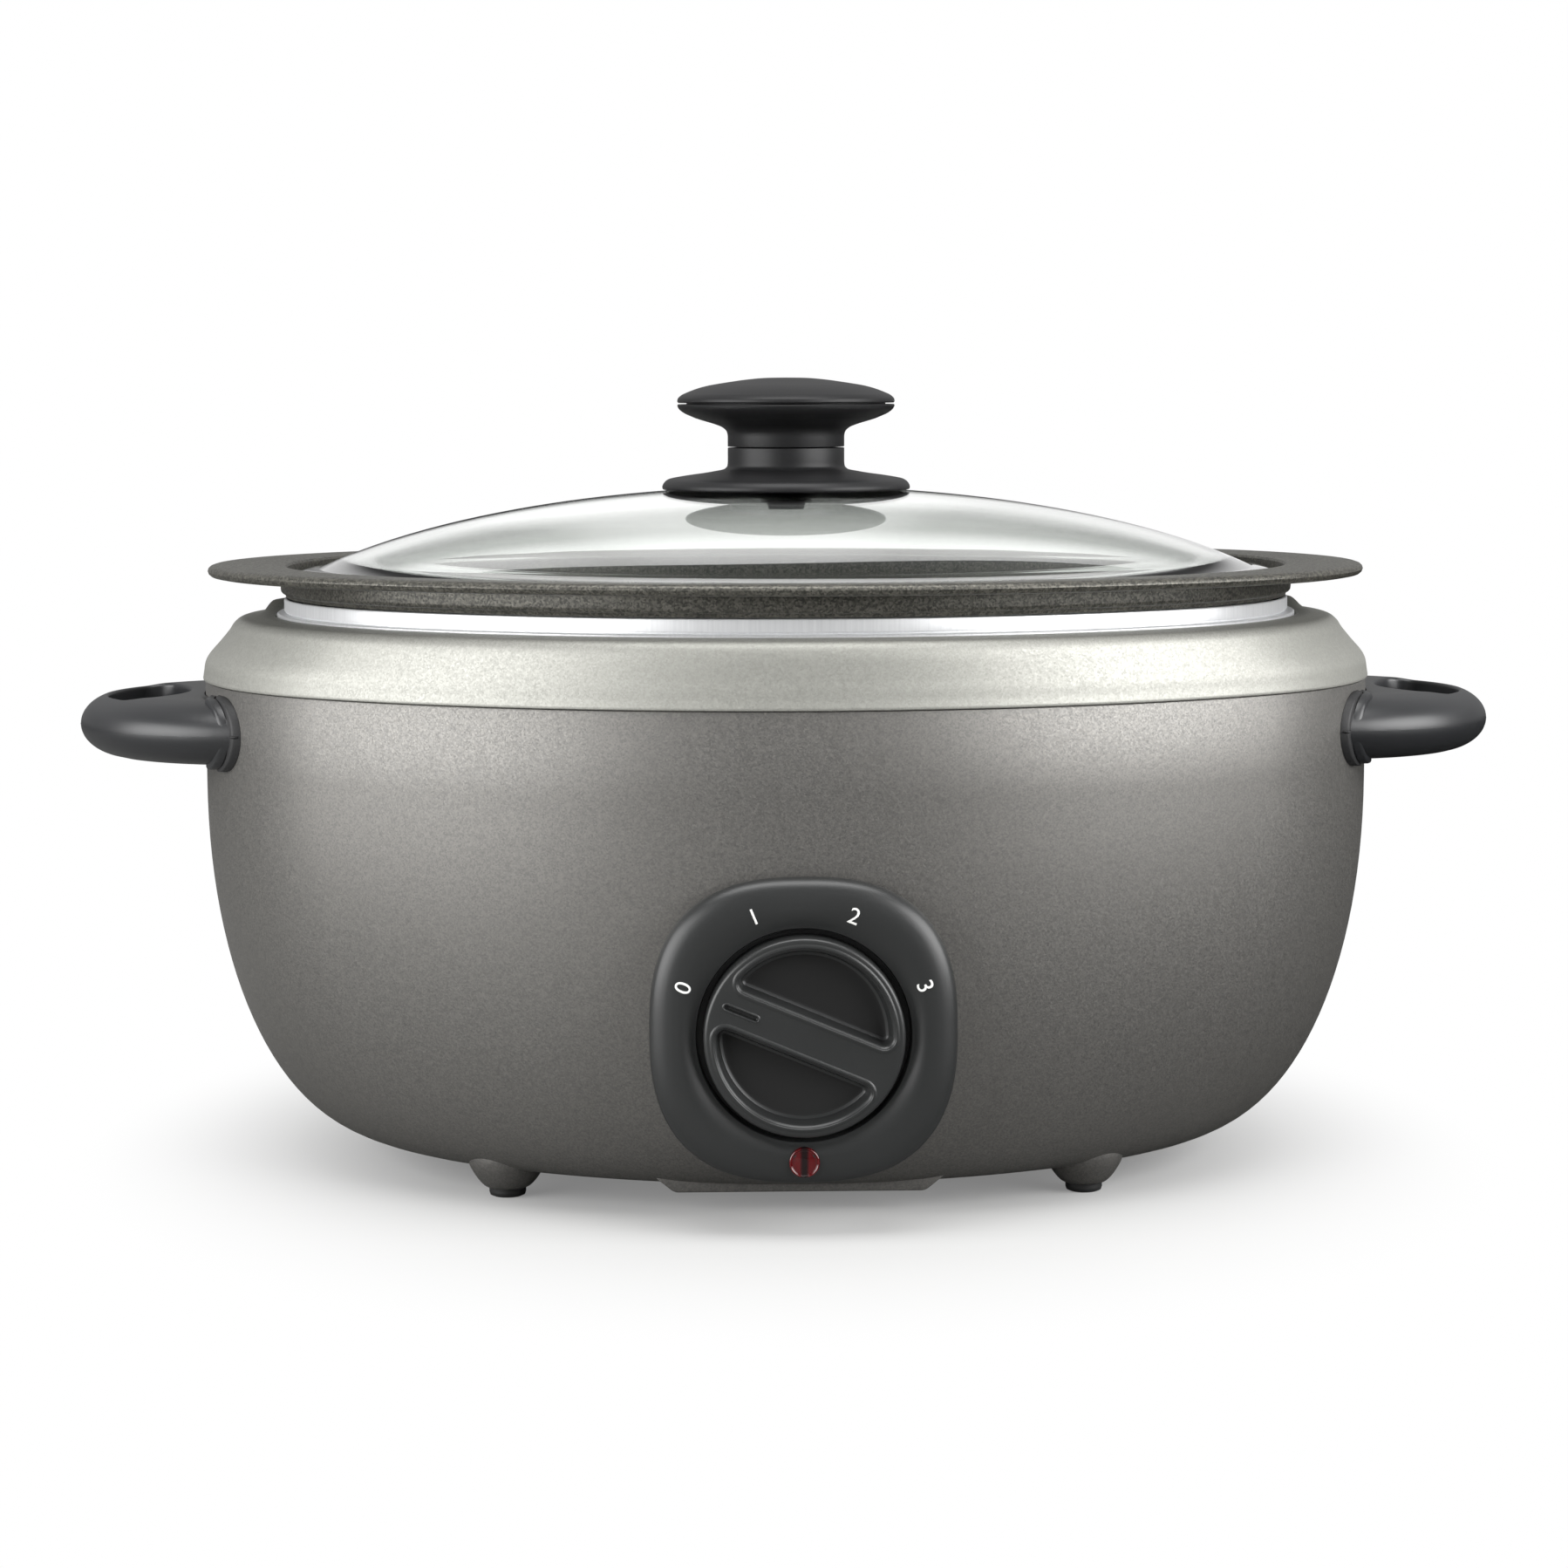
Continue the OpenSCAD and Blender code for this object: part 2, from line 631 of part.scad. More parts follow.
// A finger pocket of the dial: the disc beside the grip bar, inside the rim
module dial_pocket(side) {
    rim = 3.2;
    r = dial_r - rim;
    half = bar_w / 2;
    flat = acos(half / r);
    along_y(dial_y - over, pocket_floor) rotate(side > 0 ? 0 : 180)
        polygon([for (i = [0 : 24]) let (t = 90 - flat + 2 * flat * i / 24) [r * cos(t), r * sin(t)]]);
}

module dial_knob() {
    color([0.2, 0.2, 0.21])
    translate([0, 0, dial_h]) rotate([0, 180 - pointer_a, 0])
    difference() {
        rotate([90, 0, 0]) rotate_extrude($fn = round_fn) polygon([[0, -dial_back], [dial_r, -dial_back],
            [dial_r, -dial_y - 1.2], [dial_r - 0.5, -dial_y - 0.3], [dial_r - 1.4, -dial_y], [0, -dial_y]]);
        dial_pocket(1);
        dial_pocket(-1);
        // engraved pointer
        translate([-dial_r + 4, dial_y - over, -1.1]) cube([11, over + 0.8, 2.2]);
        bar_y(8.2, pocket_floor + 1.4, dial_back + over);
        bar_y(shaft_r + run, dial_y + 2.4, dial_back + over);
    }
}

module switch_shaft() {
    color([0.7, 0.7, 0.72])
    bar_y(shaft_r, dial_y + 2.7, switch_y + switch_len - 2.2, 0, dial_h);
}

// The switch sits behind the bezel's well and its bush comes through the well's floor
module rotary_switch() {
    color([0.88, 0.87, 0.83])
    difference() {
        union() {
            translate([-15, switch_y, dial_h - 15]) cube([30, switch_len, 30]);
            bar_y(bush_r, dial_back - 1.8, switch_y + 1, 0, dial_h);
            for (s = [-1, 1], z = [-8, 8]) translate([s * 18 - 3.5, switch_y + 13, dial_h + z - 3])
                cube([7, 0.8, 6]);
        }
        bar_y(10.4, switch_y + 2, switch_y + switch_len - 2, 0, dial_h);
        bar_y(shaft_r + run, dial_back - 3, switch_y + 3, 0, dial_h);
    }
}

module switch_nut() {
    color([0.75, 0.75, 0.76])
    difference() {
        translate([0, well_floor - 0.05, dial_h]) rotate([90, 0, 0]) cylinder(r = 7, h = 2, $fn = 6);
        bar_y(bush_r + run, well_floor - 3, well_floor + 1, 0, dial_h);
    }
}

module switch_rotor() {
    color([0.5, 0.32, 0.2])
    difference() {
        union() {
            bar_y(9.4, switch_y + 4, switch_y + switch_len - 4, 0, dial_h);
            bar_y(4.5, switch_y + 2.2, switch_y + switch_len - 2.2, 0, dial_h);
        }
        bar_y(shaft_r + 0.02, switch_y + 2, switch_y + switch_len - 2, 0, dial_h);
    }
}

lens_back = panel_y - 0.1;
holder_r = lamp_r - 1.1;
holder_end = panel_y + 19;
module lamp_lens() {
    color([0.5, 0.03, 0.05])
    difference() {
        translate([0, 0, lamp_z]) rotate([90, 0, 0]) rotate_extrude($fn = small_fn) polygon([[0, -lens_back],
            [lamp_r, -lens_back], [lamp_r, -bezel_y], [lamp_r - 0.7, -bezel_y + 0.5], [0, -bezel_y + 0.8]]);
        bar_y(holder_r + run, bezel_y + 1.8, lens_back + over, 0, lamp_z);
    }
}

// Tube pushed into the lens from behind
module lamp_holder() {
    color([0.9, 0.9, 0.86])
    difference() {
        bar_y(holder_r, bezel_y + 2.2, holder_end, 0, lamp_z);
        bar_y(holder_r - 0.7, bezel_y + over, holder_end - 1.4, 0, lamp_z);
    }
}

module neon_lamp() {
    color([0.95, 0.75, 0.6])
    bar_y(holder_r - 0.9, panel_y + 4, holder_end - 1.45, 0, lamp_z);
}

// Push-on ring that grips the holder behind the lens
clip_r = holder_r + 0.7;
module lamp_clip() {
    color([0.7, 0.7, 0.72])
    difference() {
        bar_y(clip_r, panel_y + 0.1, panel_y + 0.9, 0, lamp_z);
        bar_y(holder_r + 0.02, panel_y - over, panel_y + 2, 0, lamp_z);
    }
}

// ---------- wiring ----------

// Points of a smooth run through hand-placed points
function mid(p, q, t) = p + (q - p) * t;
function smooth(pts, n) = [for (i = [1 : len(pts) - 2], j = [0 : n - 1])
    let (t = j / n, a = mid(pts[i - 1], pts[i], 0.5), b = pts[i], c = mid(pts[i], pts[i + 1], 0.5))
        mid(mid(a, b, t), mid(b, c, t), t)];

// A lead of radius r swept along points, closed at both ends
module lead(pts, r) {
    run_pts = concat([pts[0]], smooth(pts, 5), [pts[len(pts) - 1]]);
    n = len(run_pts);
    sides = 8;
    function unit(v) = v / norm(v);
    rings = [for (i = [0 : n - 1])
        let (d = unit(run_pts[min(i + 1, n - 1)] - run_pts[max(i - 1, 0)]),
             u = unit(cross(d, [0.31, 0.12, 0.94])), w = cross(d, u))
            for (k = [0 : sides - 1]) run_pts[i] + r * (cos(360 * k / sides) * u + sin(360 * k / sides) * w)];
    polyhedron(rings, concat(
        [[for (k = [0 : sides - 1]) k]],
        [for (i = [0 : n - 2], k = [0 : sides - 1])
            let (p = i * sides + k, q = i * sides + (k + 1) % sides) [p, p + sides, q + sides, q]],
        [[for (k = [sides - 1 : -1 : 0]) (n - 1) * sides + k]]));
}

lead_r = 1.1;
block_z = floor_z + 6;
tag_x = 21.9;        // outer end of a switch terminal
tag_y = switch_y + 13.4;
module wiring_leads() {
    color([0.75, 0.3, 0.2]) {
        // mains in, from the gland to the terminal block
        lead([[gland_x, gland_nut_y - 7, gland_h], [gland_x - 2, gland_nut_y - 16, gland_h - 6],
            [58, 96, liner_low - 6], [44, 92, 24], [10, 96, 20], [-18, 96, 20],
            [-block_x + 9, block_back + 9, block_z], [-block_x + 9, block_back + 0.3, block_z]], lead_r);
        // terminal block to the switch's lower terminals
        lead([[-block_x - 9, block_back - 15.4, block_z], [-46, 40, 20], [-66, 0, 24], [-60, -60, 24],
            [-40, -100, 28], [-30, tag_y + 6, 40], [-tag_x - 1.4, tag_y, dial_h - 8]], lead_r);
        lead([[-block_x, block_back - 15.4, block_z], [-30, 40, 22], [-20, 10, 27], [-14, -30, 27],
            [20, -80, 27], [30, -104, 30], [30, tag_y + 6, 42], [tag_x + 1.4, tag_y, dial_h - 8]], lead_r);
        // switch's upper terminals to the heating band
        for (s = [-1, 1]) lead([[s * (tag_x + 1.4), tag_y, dial_h + 8], [s * 27, tag_y - 1, dial_h + 13],
            [s * 29, tag_y + 2, band_z + 4], [s * 29, -band_front - lead_r - 1.6, band_z + 9]], lead_r);
    }
}

// ---------- handles ----------

// Round puck with a rounded nose, centred inside the body's end
module handle_puck() {
    a = handle_l / 2;
    h = handle_t / 2;
    translate([puck_x, 0, handle_z]) rotate_extrude($fn = round_fn) polygon(concat([[0, h]],
        [for (i = [0 : 12]) let (t = 90 - 15 * i) [a - nose + nose * cos(t), h * sin(t)]], [[0, -h]]));
}

// A long rounded plate seen along X, for the handle's root and its gasket
module root_slab(l, t, x0, x1) {
    hull_y = (l - t) / 2;
    union() {
        translate([x0, -hull_y, handle_z - t / 2]) cube([x1 - x0, 2 * hull_y, t]);
        for (s = [-1, 1]) bar_x(t / 2, x0, x1, s * hull_y, handle_z);
    }
}

// The space between the body's wall moved out by o0 and by o1
module wall_skin(o0, o1) {
    difference() {
        oval_block(body_a + o1, body_b + o1, handle_z - handle_t, handle_z + handle_t);
        oval_block(body_a + o0, body_b + o0, handle_z - handle_t - over, handle_z + handle_t + over);
    }
}

module handle() {
    hole_x = body_a + handle_root + finger_w / 2;
    difference() {
        union() {
            handle_puck();
            intersection() {
                wall_skin(gasket_t + 0.3, gasket_t + foot_t + 0.3);
                root_slab(handle_l - 2, handle_t + 2.4, body_a * 0.8, tip_x);
            }
        }
        oval_block(body_a + gasket_t + 0.15, body_b + gasket_t + 0.15, handle_z - handle_t,
            handle_z + handle_t);
        translate([hole_x, 0, 0]) rotate(90)
            oval_block(finger_l / 2, finger_w / 2, handle_z - handle_t, handle_z + handle_t);
        for (s = [-1, 1])
            bar_x(handle_screw_r + run, body_a * 0.8, handle_pilot_x + 0.6, s * screw_y, handle_z);
    }
}
handle_pilot_x = wall_x(screw_y, gasket_t) + 10;

module gasket() {
    difference() {
        intersection() {
            wall_skin(0.1, gasket_t);
            root_slab(handle_l + 2, handle_t + 3.6, body_a * 0.8, tip_x);
        }
        for (s = [-1, 1]) bar_x(handle_screw_r + 0.3, body_a * 0.8, tip_x, s * screw_y, handle_z);
    }
}

module handle_left() { color([0.2, 0.2, 0.21]) mirror([1, 0, 0]) handle(); }
module handle_right() { color([0.2, 0.2, 0.21]) handle(); }
module gasket_left() { color([0.12, 0.12, 0.13]) mirror([1, 0, 0]) gasket(); }
module gasket_right() { color([0.12, 0.12, 0.13]) gasket(); }

module handle_screws() {
    color([0.6, 0.6, 0.62])
    for (s = [0, 1], y = [-1, 1]) mirror([s, 0, 0]) {
        bar_x(handle_screw_r, handle_boss_x - 0.5, handle_pilot_x, y * screw_y, handle_z);
        bar_x(3.8, handle_boss_x - 2.4, handle_boss_x - 0.05, y * screw_y, handle_z);
    }
}

// ---------- pot ----------

module cooking_pot() {
    in = step_a - mouth_a;
    low = pot_floor - pot_wall;
    top = pot_floor + corner_h - 4;
    outer = corner(in - pot_wall + pot_taper, top, corner_in - 2, top - low, 6);
    inner = corner(in + pot_taper, top, corner_in - 2, top - pot_floor, 6);
    flange_mid = flange_low + flange_t / 2;
    color([0.3, 0.29, 0.27])
    loft(concat(
        rings(step_a, step_b, concat([for (i = [6 : -1 : 0]) outer[i]],
            [[in - pot_wall, step_low], [1.6, step_low], [0.4, step_low + 1.4], [0, step_low + 3],
                [0, flange_low]])),
        rings(pot_a, pot_b, [[1.8, flange_low], [0.4, flange_low + 0.8], [0, flange_mid],
            [0.5, flange_top - 0.7], [2, flange_top]]),
        rings(step_a, step_b, concat(
            [[step_a - recess_a - 1.2, flange_top], [step_a - recess_a, flange_top - 1.2],
                [step_a - recess_a, ledge_top], [in - 1, ledge_top], [in, ledge_top - 1.2]], inner))));
}

// ---------- lid ----------

function dome_z(r) = crown_z - dome_rise * (1 - sqrt(1 - pow(r / dome_a, 2)));

module lid_glass() {
    steps = 9;
    rim_r = glass_a - rim_w;
    k = glass_b / glass_a;
    start = hole_r / 2;
    sections = concat(
        [for (i = [0 : steps]) let (r = start + (rim_r - start) * i / steps) [r, dome_z(r)]],
        [[glass_a - 1.6, glass_low + rim_t], [glass_a, glass_low + rim_t / 2], [glass_a - 1.4, glass_low]],
        [for (i = [steps : -1 : 0]) let (r = start + (rim_r - start) * i / steps)
            [r - glass_t * pow(i / steps, 2), max(glass_low, dome_z(r) - glass_t)]]);
    n = 72;
    m = len(sections);
    color([0.8, 0.88, 0.86, 0.35])
    difference() {
        polyhedron([for (p = sections, j = [0 : n - 1])
                [p[0] * cos(360 * j / n), k * p[0] * sin(360 * j / n), p[1]]],
            [for (i = [0 : m - 1], j = [0 : n - 1])
                let (p = i * n + j, q = i * n + (j + 1) % n, up = ((i + 1) % m - i) * n)
                    [p, q, q + up, p + up]]);
        translate([0, 0, glass_low]) cylinder(r = hole_r, h = dome_h * 2, $fn = small_fn);
    }
}

// Silicone washer over the glass, with a sleeve through its hole
module lid_seal() {
    color([0.1, 0.1, 0.1])
    difference() {
        union() {
            translate([0, 0, crown_z + 0.1]) cylinder(r = 10, h = knob_z - crown_z - 0.15, $fn = small_fn);
            translate([0, 0, crown_z - glass_t])
                cylinder(r = hole_r - 0.1, h = glass_t + 0.2, $fn = small_fn);
        }
        translate([0, 0, crown_z - glass_t - over])
            cylinder(r = screw_r + 0.15, h = glass_t + 6, $fn = small_fn);
    }
}

module knob_base() {
    z = crown_z;
    color([0.2, 0.2, 0.21])
    difference() {
        rotate_extrude($fn = round_fn) polygon([[0, knob_z], [12, knob_z], [base_r - 5, knob_z - 0.6],
            [base_r - 1.6, z - 1], [base_r - 0.4, z - 1], [base_r, z - 0.4],
            [base_r - 0.2, z + 0.7], [base_r - 1, z + 1.8], [base_r - 2.8, z + 2.6],
            [base_r - 9, z + 3.7], [neck_r + 4.4, z + 5], [neck_r + 1.5, z + 5.6],
            [neck_r + 0.4, z + 6.4], [neck_r, z + 8.2], [neck_r, split_z - 0.05], [0, split_z - 0.05]]);
        translate([0, 0, knob_z - over]) cylinder(r = screw_r + run, h = 20, $fn = small_fn);
        // the neck's ends are rebated so that a fine line shows between them
        translate([0, 0, split_z - 0.45]) difference() {
            cylinder(r = neck_r + over, h = 1, $fn = round_fn);
            translate([0, 0, -over]) cylinder(r = neck_r - 0.5, h = 3, $fn = round_fn);
        }
    }
}

module knob_grip() {
    p = parting_z;
    k = neck_r;
    color([0.2, 0.2, 0.21])
    difference() {
        rotate_extrude($fn = round_fn) polygon([[0, split_z], [k, split_z], [k, p - 10.6], [k + 0.5, p - 8.7],
            [k + 4.4, p - 6.4], [knob_r - 5, p - 4.1], [knob_r - 0.6, p - 1.8], [knob_r, p - 0.2],
            [knob_r - 0.5, p], [knob_r - 3.2, p], [knob_r - 3.4, p - 1], [knob_r - 7, p - 2],
            [13, p - 4], [12, p - 9], [6, p - 9], [6, p - 3], [0, p - 3]]);
        translate([0, 0, split_z - over]) cylinder(r = screw_r + run, h = 10, $fn = small_fn);
    }
}

module knob_cap() {
    p = parting_z + split_gap;
    h = knob_top - p;
    color([0.2, 0.2, 0.21])
    difference() {
        rotate_extrude($fn = round_fn) polygon([[0, p - 1.4], [knob_r - 3.8, p - 1.4],
            [knob_r - 3.8, p - 0.5], [knob_r - 0.5, p - 0.5], [knob_r, p + 0.3],
            [knob_r - 0.3, p + 0.23 * h], [knob_r - 2, p + 0.38 * h], [knob_r - 5, p + 0.5 * h],
            [knob_r - 10.8, p + 0.7 * h], [knob_r - 18, p + 0.84 * h],
            [knob_r - 28, p + 0.98 * h], [0, knob_top]]);
        translate([0, 0, p - 2]) cylinder(r = knob_r - 7, h = 3.4, $fn = round_fn);
    }
}

screw_head_z = crown_z - glass_t - 1.8;
module knob_screw() {
    color([0.6, 0.6, 0.62])
    difference() {
        union() {
            translate([0, 0, screw_head_z])
                cylinder(r = screw_r, h = split_z + 8 - screw_head_z, $fn = small_fn);
            translate([0, 0, screw_head_z - 2.6]) cylinder(r1 = 5.6, r2 = 6.5, h = 2.6, $fn = small_fn);
        }
        translate([-4, -0.6, screw_head_z - 3]) cube([8, 1.2, 1.6]);
    }
}

module knob_washer() {
    color([0.75, 0.75, 0.76])
    difference() {
        translate([0, 0, screw_head_z + 0.05]) cylinder(r = 8.3, h = 1.4, $fn = small_fn);
        translate([0, 0, screw_head_z - over]) cylinder(r = screw_r + 0.15, h = 4, $fn = small_fn);
    }
}

outer_shell();
collar_ring();
heating_liner();
heater_band();
band_clamp();
thermal_fuse();
base_plate();
base_screws();
foot_pads();
centre_stud();
centre_nut();
terminal_block();
cord_gland();
gland_nut();
control_bezel();
bezel_screws();
rotary_switch();
switch_nut();
lamp_lens();
lamp_holder();
neon_lamp();
lamp_clip();
wiring_leads();
handle_left();
handle_right();
gasket_left();
gasket_right();
handle_screws();
dial_knob();
switch_shaft();
switch_rotor();
cooking_pot();
lid_glass();
lid_seal();
knob_base();
knob_grip();
knob_cap();
knob_screw();
knob_washer();
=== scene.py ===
import math

import bmesh
import bpy
from mathutils import Matrix, Vector


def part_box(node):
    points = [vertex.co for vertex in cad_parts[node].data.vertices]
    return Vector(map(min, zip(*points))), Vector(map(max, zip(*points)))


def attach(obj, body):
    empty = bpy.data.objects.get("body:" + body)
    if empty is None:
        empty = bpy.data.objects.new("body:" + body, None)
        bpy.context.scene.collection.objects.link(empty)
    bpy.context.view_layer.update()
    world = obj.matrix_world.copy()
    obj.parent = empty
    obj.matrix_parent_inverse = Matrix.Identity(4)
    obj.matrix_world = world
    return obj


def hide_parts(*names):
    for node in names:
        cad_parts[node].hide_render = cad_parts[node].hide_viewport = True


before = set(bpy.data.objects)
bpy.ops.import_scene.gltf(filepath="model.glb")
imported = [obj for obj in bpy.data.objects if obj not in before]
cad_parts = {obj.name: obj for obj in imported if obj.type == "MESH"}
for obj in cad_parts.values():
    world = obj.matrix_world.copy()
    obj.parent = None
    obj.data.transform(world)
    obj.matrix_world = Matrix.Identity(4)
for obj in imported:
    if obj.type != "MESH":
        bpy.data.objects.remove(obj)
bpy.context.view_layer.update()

# ---------------------------------------------------------------- camera
# A long lens a little above the knob looks down at the middle of the cooker.
# Every length in this script is in millimetres until a piece is finished.
MM = 0.001
LENS = 88.27
SENSOR = 36
SEES_TO = 20000
DISTANCE = 1258.2
EYE_HEIGHT = 251.8
SWING = math.radians(1.9)
PAN = math.radians(-0.04)
PITCH = math.radians(6.04)
ROLL = math.radians(-0.12)

heading = SWING + PAN
forward = Vector((math.sin(heading) * math.cos(PITCH), math.cos(heading) * math.cos(PITCH),
                  -math.sin(PITCH)))
level = Vector((math.cos(heading), -math.sin(heading), 0))
upright = level.cross(forward)
right = level * math.cos(ROLL) + upright * math.sin(ROLL)
up = upright * math.cos(ROLL) - level * math.sin(ROLL)

camera = bpy.data.objects.new("camera", bpy.data.cameras.new("camera"))
camera.data.lens = LENS
camera.data.sensor_width = SENSOR
camera.data.clip_end = SEES_TO * MM
camera.matrix_world = Matrix((right, up, -forward)).transposed().to_4x4()
camera.location = Vector((-math.sin(SWING) * DISTANCE, -math.cos(SWING) * DISTANCE, EYE_HEIGHT)) * MM
bpy.context.scene.collection.objects.link(camera)
bpy.context.scene.camera = camera
bpy.context.scene.view_settings.view_transform = "Standard"


# ---------------------------------------------------------------- studio
# A pale sweep for a floor, two wide soft boxes in front to the left and the right, and one overhead.
# The room behind the camera is dim, so the front of the body stays darker between the two boxes.
def linear(colour):
    """Turns an sRGB hex colour into the linear values that shaders take."""
    parts = [int(colour[i:i + 2], 16) / 255 for i in (1, 3, 5)]
    return (*(p / 12.92 if p < 0.04045 else ((p + 0.055) / 1.055) ** 2.4 for p in parts), 1)


def add(tree, kind, values=None, links=None, **settings):
    """Adds a node with its settings, its sockets' values and the outputs linked into them."""
    made = tree.nodes.new("ShaderNode" + kind)
    for name, value in settings.items():
        setattr(made, name, value)
    for name, value in (values or {}).items():
        made.inputs[name].default_value = value
    for name, output in (links or {}).items():
        tree.links.new(output, made.inputs[name])
    return made


def between(start, end, low=0.0, high=1.0):
    """The values of a range that runs from low at start to high at end."""
    return {"From Min": start, "From Max": end, "To Min": low, "To Max": high}


SMOOTH = {"interpolation_type": "SMOOTHSTEP"}

# How bright the room is in front of the cooker, behind it and above
ROOM_FRONT = 0.15
WALL_BEHIND = 0.32
CEILING_BEHIND = 0.55
# Where that changes, by the Y or the Z of the direction
TO_BEHIND = -0.15, 0.4
TO_CEILING = 0.25, 0.45
TO_WHITE = 0.45, 0.85
# Only the glass, which reflects sharply, sees a bright strip high behind the cooker. Its heights are
# Z + STRIP_BOW * X * X of the direction, so that its edges lie straight across the dome.
STRIP, STRIP_DIM = 3.8, 0.9
STRIP_BOW = 2.3
DIM_EDGE = 0.12, 0.35
BRIGHT_EDGE = 0.54, 0.72
STRIP_END = 0.785, 0.79
# Where it fades to the sides, by X * X
DIM_SIDES = 0.001, 0.016
STRIP_SIDES = 0.02, 0.15
# Straight behind, by the Y of the direction, the glass sees the white sweep with a dark spot in the
# middle, which outlines the dome.
MIRROR_DARK = 0.15
SWEEP_EDGE = 0.90, 0.97
SPOT_EDGE = 0.986, 0.996
SPOT_DARK = 0.05

world = bpy.data.worlds.new("studio")
bpy.context.scene.world = world
world.use_nodes = True
tree = world.node_tree
tree.nodes.clear()
path = add(tree, "LightPath")
place = add(tree, "TexCoord")
toward = add(tree, "SeparateXYZ", links={0: place.outputs["Generated"]})
sideways, backward, upward = toward.outputs["X"], toward.outputs["Y"], toward.outputs["Z"]
squared = add(tree, "Math", links={0: sideways, 1: sideways}, operation="MULTIPLY")
bow = add(tree, "Math", {1: STRIP_BOW}, {0: squared.outputs[0], 2: upward}, operation="MULTIPLY_ADD")

behind = add(tree, "MapRange", between(*TO_BEHIND), {"Value": backward}, **SMOOTH)
above = add(tree, "MapRange", between(*TO_CEILING, WALL_BEHIND, CEILING_BEHIND), {"Value": upward}, **SMOOTH)
room = add(tree, "Mix", {2: ROOM_FRONT}, {0: behind.outputs[0], 3: above.outputs[0]}, data_type="FLOAT")
straight = add(tree, "MapRange", between(*TO_WHITE, ROOM_FRONT), {"Value": backward}, **SMOOTH)
through = add(tree, "Mix", links={0: path.outputs["Is Transmission Ray"], 2: room.outputs[0],
                                  3: straight.outputs[0]}, data_type="FLOAT")

dim = add(tree, "MapRange", between(*DIM_EDGE, 0, STRIP_DIM), {"Value": bow.outputs[0]}, **SMOOTH)
middle = add(tree, "MapRange", between(*DIM_SIDES, 1, 0), {"Value": squared.outputs[0]}, **SMOOTH)
bright = add(tree, "MapRange", between(*BRIGHT_EDGE, 0, STRIP - STRIP_DIM), {"Value": bow.outputs[0]},
             **SMOOTH)
strip = add(tree, "Math", links={0: dim.outputs[0], 1: middle.outputs[0], 2: bright.outputs[0]},
            operation="MULTIPLY_ADD")
end = add(tree, "MapRange", between(*STRIP_END, 1, 0), {"Value": bow.outputs[0]})
sides = add(tree, "MapRange", between(*STRIP_SIDES, 1, 0), {"Value": squared.outputs[0]}, **SMOOTH)
for factor in (end, sides, behind):
    strip = add(tree, "Math", links={0: strip.outputs[0], 1: factor.outputs[0]}, operation="MULTIPLY")
sweep = add(tree, "MapRange", between(*SWEEP_EDGE, MIRROR_DARK), {"Value": backward}, **SMOOTH)
middle_dark = add(tree, "MapRange", between(*SPOT_EDGE, 1, SPOT_DARK), {"Value": backward})
mirror = add(tree, "Math", links={0: sweep.outputs[0], 1: middle_dark.outputs[0], 2: strip.outputs[0]},
             operation="MULTIPLY_ADD")

sharply = add(tree, "Math", links={0: path.outputs["Is Reflection Ray"], 1: path.outputs["Is Singular Ray"]},
              operation="MULTIPLY")
lit = add(tree, "Mix", links={0: sharply.outputs[0], 2: through.outputs[0], 3: mirror.outputs[0]},
          data_type="FLOAT")
glow = add(tree, "Mix", {3: 1.0}, {0: path.outputs["Is Camera Ray"], 2: lit.outputs[0]}, data_type="FLOAT")
shown = add(tree, "Background", {"Color": (1, 1, 1, 1)}, {"Strength": glow.outputs[0]})
add(tree, "OutputWorld", links={"Surface": shown.outputs[0]})


def new_material(name):
    """An empty material and its node tree."""
    material = bpy.data.materials.new(name)
    material.use_nodes = True
    material.node_tree.nodes.clear()
    return material, material.node_tree


# The paper fades into the white background over FADE, measured from the middle and shorter along X.
# Soft reflections see a grey card on it in place of the paper, darker to the right.
FLOOR_HALF = 4000
FADE = 122, 282
FADE_LONG = 1.2
FADE_LEAST = 0.2
CARD_HALF = 250
bm = bmesh.new()
bmesh.ops.create_grid(bm, x_segments=1, y_segments=1, size=FLOOR_HALF * MM)
mesh = bpy.data.meshes.new("floor")
bm.to_mesh(mesh)
bm.free()
floor = bpy.data.objects.new("floor", mesh)
bpy.context.scene.collection.objects.link(floor)
paper_sweep, tree = new_material("paper_sweep")
place = add(tree, "TexCoord")
oblong = add(tree, "Mapping", {"Scale": (FADE_LONG, 1, 1)}, {"Vector": place.outputs["Object"]})
reach = add(tree, "VectorMath", links={0: oblong.outputs[0]}, operation="LENGTH")
away = add(tree, "MapRange", between(FADE[0] * MM, FADE[1] * MM, FADE_LEAST),
           {"Value": reach.outputs["Value"]}, **SMOOTH)
path = add(tree, "LightPath")
seen = add(tree, "Math", links={0: path.outputs["Is Camera Ray"], 1: path.outputs["Is Transmission Ray"]},
           operation="MAXIMUM")
blank = add(tree, "Math", links={0: seen.outputs[0], 1: away.outputs[0]}, operation="MULTIPLY")
side = add(tree, "SeparateXYZ", links={0: place.outputs["Object"]})
side = add(tree, "MapRange", between(-CARD_HALF * MM, CARD_HALF * MM), {"Value": side.outputs["X"]}, **SMOOTH)
card = add(tree, "Mix", {6: linear("#868685"), 7: linear("#202020")}, {0: side.outputs[0]}, data_type="RGBA")
sheet = add(tree, "Mix", {6: linear("#BCBCBB")}, {0: path.outputs["Is Glossy Ray"], 7: card.outputs[2]},
            data_type="RGBA")
paper = add(tree, "BsdfDiffuse", links={"Color": sheet.outputs[2]})
white = add(tree, "Emission", {"Color": (1, 1, 1, 1), "Strength": 1.0})
either = add(tree, "MixShader", links={0: blank.outputs[0], 1: paper.outputs[0], 2: white.outputs[0]})
